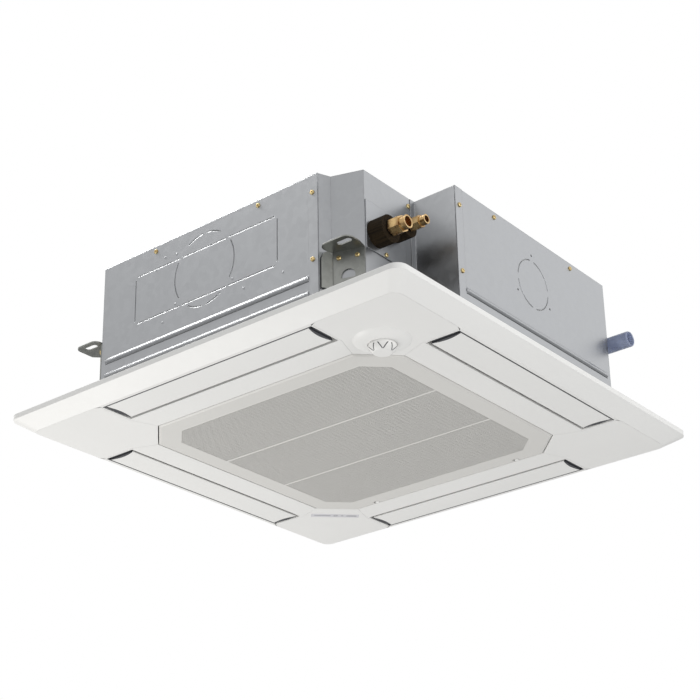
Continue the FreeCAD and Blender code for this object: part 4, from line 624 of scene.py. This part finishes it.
FRONT_MARKS = ((-115, 241), (-85, 238), (-118, 105), (-86, 133), (86, 106), (58, 135), (179, 105),
               (-138, 222))
domes = bmesh.new()
for x, z in FRONT_MARKS:
    add_dome(domes, (x, -420, z), (0, -1, 0), 2.6, 1.0)
piece("punch_marks", domes, "unit", "galvanised", 60)

# %% [markdown]
# ### Painted shade of the sensor turret slits
# The turret looks out through narrow slits set in V shapes around its rounded foot. Their shade is painted:
# thin dark strips laid on the curve of the turret, a hair proud of it, so that they turn with it. Cutting the
# slits out of the CAD mesh with a Boolean would change a CAD node, which this scene never does.


# %% Painted shade of the V-shaped slits round the turret
TURRET_X, TURRET_Y = 312, -312
ROUND_OUT, ROUND_LEVEL, ROUND_R = 2.26, -36.3, 24  # the arc that, turned round, makes the turret's side
FOOT_ANGLE = math.atan2(-56 - ROUND_LEVEL, 16 - ROUND_OUT)
SHOULDER_ANGLE = math.atan2(-44 - ROUND_LEVEL, 25 - ROUND_OUT)
SLIT_COUNT, SLIT_STEPS, SLIT_HALF_WIDTH = 6, 6, math.radians(2.6)


def turret_point(angle, share, proud):
    """A point on the turret's rounded side, from its foot (0) to its shoulder (1), in millimetres."""
    slope = FOOT_ANGLE + (SHOULDER_ANGLE - FOOT_ANGLE) * share
    radius = ROUND_OUT + (ROUND_R + proud) * math.cos(slope)
    return Vector((TURRET_X + radius * math.cos(angle), TURRET_Y + radius * math.sin(angle),
                   ROUND_LEVEL + (ROUND_R + proud) * math.sin(slope)))


# Dark strips painted as the shade inside the slits.
slit_shade = bmesh.new()
for k in range(SLIT_COUNT):
    middle = math.radians(360 / SLIT_COUNT * k - 51)
    for side in (-1, 1):
        strip = []
        for step in range(SLIT_STEPS + 1):
            share = 0.12 + 0.8 * step / SLIT_STEPS
            lean = middle + side * math.radians(2.5 + 19 * step / SLIT_STEPS)
            strip.append([slit_shade.verts.new(turret_point(lean + edge * SLIT_HALF_WIDTH, share, lift) * MM)
                          for edge, lift in ((-1, -0.2), (-1, 0.15), (1, 0.15), (1, -0.2))])
        for low, high in zip(strip, strip[1:]):
            for i in range(3):
                slit_shade.faces.new((low[i], low[i + 1], high[i + 1], high[i]))
        slit_shade.faces.new(strip[0])
        slit_shade.faces.new(strip[-1][::-1])
bmesh.ops.recalc_face_normals(slit_shade, faces=slit_shade.faces)
piece("turret_slit_shade", slit_shade, "turret", "dark_plastic", 40)

# %% [markdown]
# ### Indicator lamps
# Behind the pale strip of the back left corner sit the lamps and the receiver eye. The strip stays plain, and
# only the outlines of these parts show: two bars, a ring and a square, with no lettering.

# %% Shapes on the indicator strip
marks = bmesh.new()
along = Vector((math.sqrt(0.5), math.sqrt(0.5), 0))
across = Vector((-math.sqrt(0.5), math.sqrt(0.5), 0))
strip_middle = Vector((-303, 303, -32))
MARK_DROP, EYE_SIDES = -0.2, 24


def on_strip(u, v, drop):
    """A new vertex on the indicator strip, along it, across it and below it, in millimetres."""
    return marks.verts.new((strip_middle + along * u + across * v + Vector((0, 0, drop))) * MM)


for low, high, wide in ((-46, -10, 0.9), (13, 18, 1.6), (25, 47, 1.9)):
    corners = [(low, -wide), (high, -wide), (high, wide), (low, wide)]
    under = [on_strip(u, v, MARK_DROP) for u, v in corners]
    above = [on_strip(u, v, 0) for u, v in corners]
    marks.faces.new(under[::-1])
    for i in range(4):
        marks.faces.new((under[i - 1], under[i], above[i], above[i - 1]))
rims = [[on_strip(1 + r * math.cos(a), r * math.sin(a), drop)
         for a in [2 * math.pi * i / EYE_SIDES for i in range(EYE_SIDES)]]
        for r, drop in ((4.2, 0), (4.2, MARK_DROP), (2.9, MARK_DROP), (2.9, 0))]
for low, high in zip(rims, rims[1:]):
    for i in range(EYE_SIDES):
        marks.faces.new((low[i - 1], low[i], high[i], high[i - 1]))
bmesh.ops.recalc_face_normals(marks, faces=marks.faces)
piece("indicator_marks", marks, "unit", "motor_steel")

# %% [markdown]
# ### Painted shade in the gaps of the air outlets
# Round each vane, dark sheets are painted shade in the outlet's gaps: a strip along the outer wall, shown
# as a fine black line beside the closed vane, and a pointed sheet in each end gap, by the pivot. Each is a
# short list of corners pushed up by its thickness. They stay on the panel and leave the vane room to swing.

# %% Painted shade: strips and end sheets in the four outlet gaps
SIDES = {"back": 0, "left": 1, "front": 2, "right": 3}


def carried(x, y, z, turns):
    """A point of the back side, carried round by quarter turns, in metres."""
    for _ in range(turns):
        x, y = -y, x
    return Vector((x, y, z)) * MM


def add_plate(mesh, outline, low, high, turns):
    """A flat plate with that outline between two levels."""
    under = [mesh.verts.new(carried(x, y, low, turns)) for x, y in outline]
    above = [mesh.verts.new(carried(x, y, high, turns)) for x, y in outline]
    mesh.faces.new(under[::-1])
    mesh.faces.new(above)
    for i in range(len(outline)):
        mesh.faces.new((under[i - 1], under[i], above[i], above[i - 1]))


def bowed(end, foot, depth, low, high, steps=10):
    """A bowed line at one end of an outlet, from its inner to its outer edge, in millimetres."""
    shares = [step / steps for step in range(steps + 1)]
    return [(end * (foot + depth * math.sin(math.pi * share)), low + (high - low) * share)
            for share in shares]


# Painted shade: dark sheets in the gaps beside each vane, a strip on the outer wall and a pointed sheet at
# each end.
GAP_SHADE_END, GAP_SHADE_INNER, GAP_SHADE_OUTER = 254.8, 432.1, 434.9
gap_shade_strip = [(-GAP_SHADE_END, GAP_SHADE_INNER), (GAP_SHADE_END, GAP_SHADE_INNER), (GAP_SHADE_END, GAP_SHADE_OUTER), (-GAP_SHADE_END, GAP_SHADE_OUTER)]
gap_shade = bmesh.new()
for turns in SIDES.values():
    add_plate(gap_shade, gap_shade_strip, -31.95, -12, turns)
    for end in (-1, 1):
        end_gap_shade = bowed(end, 248.4, 6.2, 372, 430)
        add_plate(gap_shade, end_gap_shade if end > 0 else end_gap_shade[::-1], -30.6, -28.6, turns)
bmesh.ops.recalc_face_normals(gap_shade, faces=gap_shade.faces)
piece("outlet_gap_shade", gap_shade, "unit", "dark_plastic")

# %% [markdown]
# ### Painted shade at the ends of the vanes
# Each vane ends in a dark sheet with a bowed edge, painted shade of the gap round the pivot, which shows as a
# dark wedge in the white panel. It lies a hair below the vane's face, laps its end and rides on its own vane.

# %% Bowed painted shade at both ends of each vane
VANE_SHADE_INNER, VANE_SHADE_OUTER, VANE_SHADE_END = 370, 431, 247.8
for side, turns in SIDES.items():
    # Painted shade: a dark sheet over the gap at each end of the vane.
    end_shades = bmesh.new()
    for end in (-1, 1):
        bow = bowed(end, 246.8, -5.5, VANE_SHADE_INNER, VANE_SHADE_OUTER)
        bow += [(end * VANE_SHADE_END, VANE_SHADE_OUTER), (end * VANE_SHADE_END, VANE_SHADE_INNER)]
        add_plate(end_shades, bow, -32.7, -29.4, turns)
    bmesh.ops.recalc_face_normals(end_shades, faces=end_shades.faces)
    piece("vane_shade_" + side, end_shades, "vane_" + side[0], "dark_plastic")

# %% [markdown]
# ### Pressed beads of the cabinet sides
# Two long beads stiffen the foot of each side sheet. They are laid over the narrower CAD beads, whose ends
# are looked up in the CAD mesh, with slopes that catch the light from above and ends that run out flat.


# %% Broad beads over the CAD beads
BEAD_SECTION = ((-6.5, 0), (-1.5, 1), (1.5, 1), (6.5, 0))  # height across the bead, share of its lift
BEAD_FOOT, BEAD_LIFT, BEAD_RUN_OUT = 419.9, 3.1, 6
CAD_BEAD_FACE, CAD_BEAD_TOP = 421.8, 80  # only the CAD beads lie outside and below these


def add_bead(mesh, low, high, level, turns):
    """A long flat-topped bead on the back side between two ends, carried round by quarter turns."""
    ends = []
    for x, run_out in ((low, BEAD_RUN_OUT), (high, -BEAD_RUN_OUT)):
        ends.append([mesh.verts.new(carried(x + run_out * lift, BEAD_FOOT + BEAD_LIFT * lift, level + rise,
                                            turns)) for rise, lift in BEAD_SECTION])
    for i in range(4):
        mesh.faces.new((ends[0][i - 1], ends[0][i], ends[1][i], ends[1][i - 1]))
    mesh.faces.new(ends[0])
    mesh.faces.new(ends[1])


beads = bmesh.new()
for side, turns in SIDES.items():
    plate = frame["nodes"]["side_plate_" + side]
    spots = [plate.matrix_world @ vertex.co / MM for vertex in plate.data.vertices]
    for _ in range(turns):
        spots = [Vector((spot.y, -spot.x, spot.z)) for spot in spots]
    run = [spot.x for spot in spots if spot.y > CAD_BEAD_FACE and spot.z < CAD_BEAD_TOP]
    for level in (41, 71):
        add_bead(beads, min(run) - 1, max(run) + 1, level, turns)
bmesh.ops.recalc_face_normals(beads, faces=beads.faces)
piece("side_beads", beads, "unit", "galvanised", 20)

# %% [markdown]
# ### Drain socket
# The condensate leaves through a short tube of tinted plastic. It is one profile turned round the tube's
# axis, with a rounded mouth. It stands in for the plain CAD tube and leaves out its stop ring, because the
# photograph shows a plain stub.

# %% Turned drain tube
TUBE_Y, TUBE_Z, TUBE_SIDES = 310, 156, 48
profile = ((334, 15.9), (452.5, 16.0), (454.6, 15.6), (455.8, 14.7), (456, 13.8), (455.2, 12.9),
           (452, 12.5), (334, 12.5))
angles = [2 * math.pi * i / TUBE_SIDES for i in range(TUBE_SIDES)]
tube = bmesh.new()
rings = [[tube.verts.new(Vector((x, TUBE_Y + r * math.cos(a), TUBE_Z + r * math.sin(a))) * MM)
          for a in angles] for x, r in profile]
for low, high in zip(rings, rings[1:] + rings[:1]):
    for i in range(TUBE_SIDES):
        tube.faces.new((low[i - 1], low[i], high[i], high[i - 1]))
bmesh.ops.recalc_face_normals(tube, faces=tube.faces)
piece("drain_tube", tube, "unit", "drain_plastic", 40, ["drain_socket"])

# %% [markdown]
# ### Tab of the near bracket
# The bracket at the pipe corner has a second tab, folded along the step of the corner post. The tab is an
# outline with a rounded shoulder, given the thickness of the bracket's sheet.

# %% Folded tab beside the near bracket
tab = bmesh.new()
tab_start, tab_end = Vector((271.6, -396.4, 0)), Vector((263.2, -417.4, 0))
tab_run = (tab_end - tab_start).normalized()
tab_out = Vector((-tab_run.y, tab_run.x, 0))
tab_outline = ((0, 46), (22, 46), (22, 100), (20.5, 108), (16.5, 114.5), (10.5, 118.5), (0, 120))
faces_of_tab = [[tab.verts.new((tab_start + tab_run * along_run + tab_out * lift + Vector((0, 0, z))) * MM)
                 for along_run, z in tab_outline] for lift in (0.3, 2.6)]
tab.faces.new(faces_of_tab[0])
tab.faces.new(faces_of_tab[1][::-1])
for i in range(len(tab_outline)):
    tab.faces.new((faces_of_tab[0][i - 1], faces_of_tab[0][i], faces_of_tab[1][i], faces_of_tab[1][i - 1]))
bmesh.ops.recalc_face_normals(tab, faces=tab.faces)
piece("bracket_tab", tab, "unit", "zinc_bracket")

# %% [markdown]
# ## Floor and finish
# The floor is one large pale sheet with a faint drift in tone. It lies well below the unit, as a room's
# floor would, and takes its soft shadow.

# %% Floor
floor_mesh = bmesh.new()
bmesh.ops.create_grid(floor_mesh, x_segments=8, y_segments=8, size=60)
floor_data = bpy.data.meshes.new("floor")
floor_mesh.to_mesh(floor_data)
floor_mesh.free()
floor = bpy.data.objects.new("floor", floor_data)
bpy.context.scene.collection.objects.link(floor)
floor.location.z = -4.5
pale = Finish("floor_pale", (0.92, 0.92, 0.92), 0.7)
pale.colour(pale.noise(0.6, 2), (0.3, (0.90, 0.90, 0.90)), (0.7, (0.93, 0.93, 0.93)))
floor_data.materials.append(pale.material)
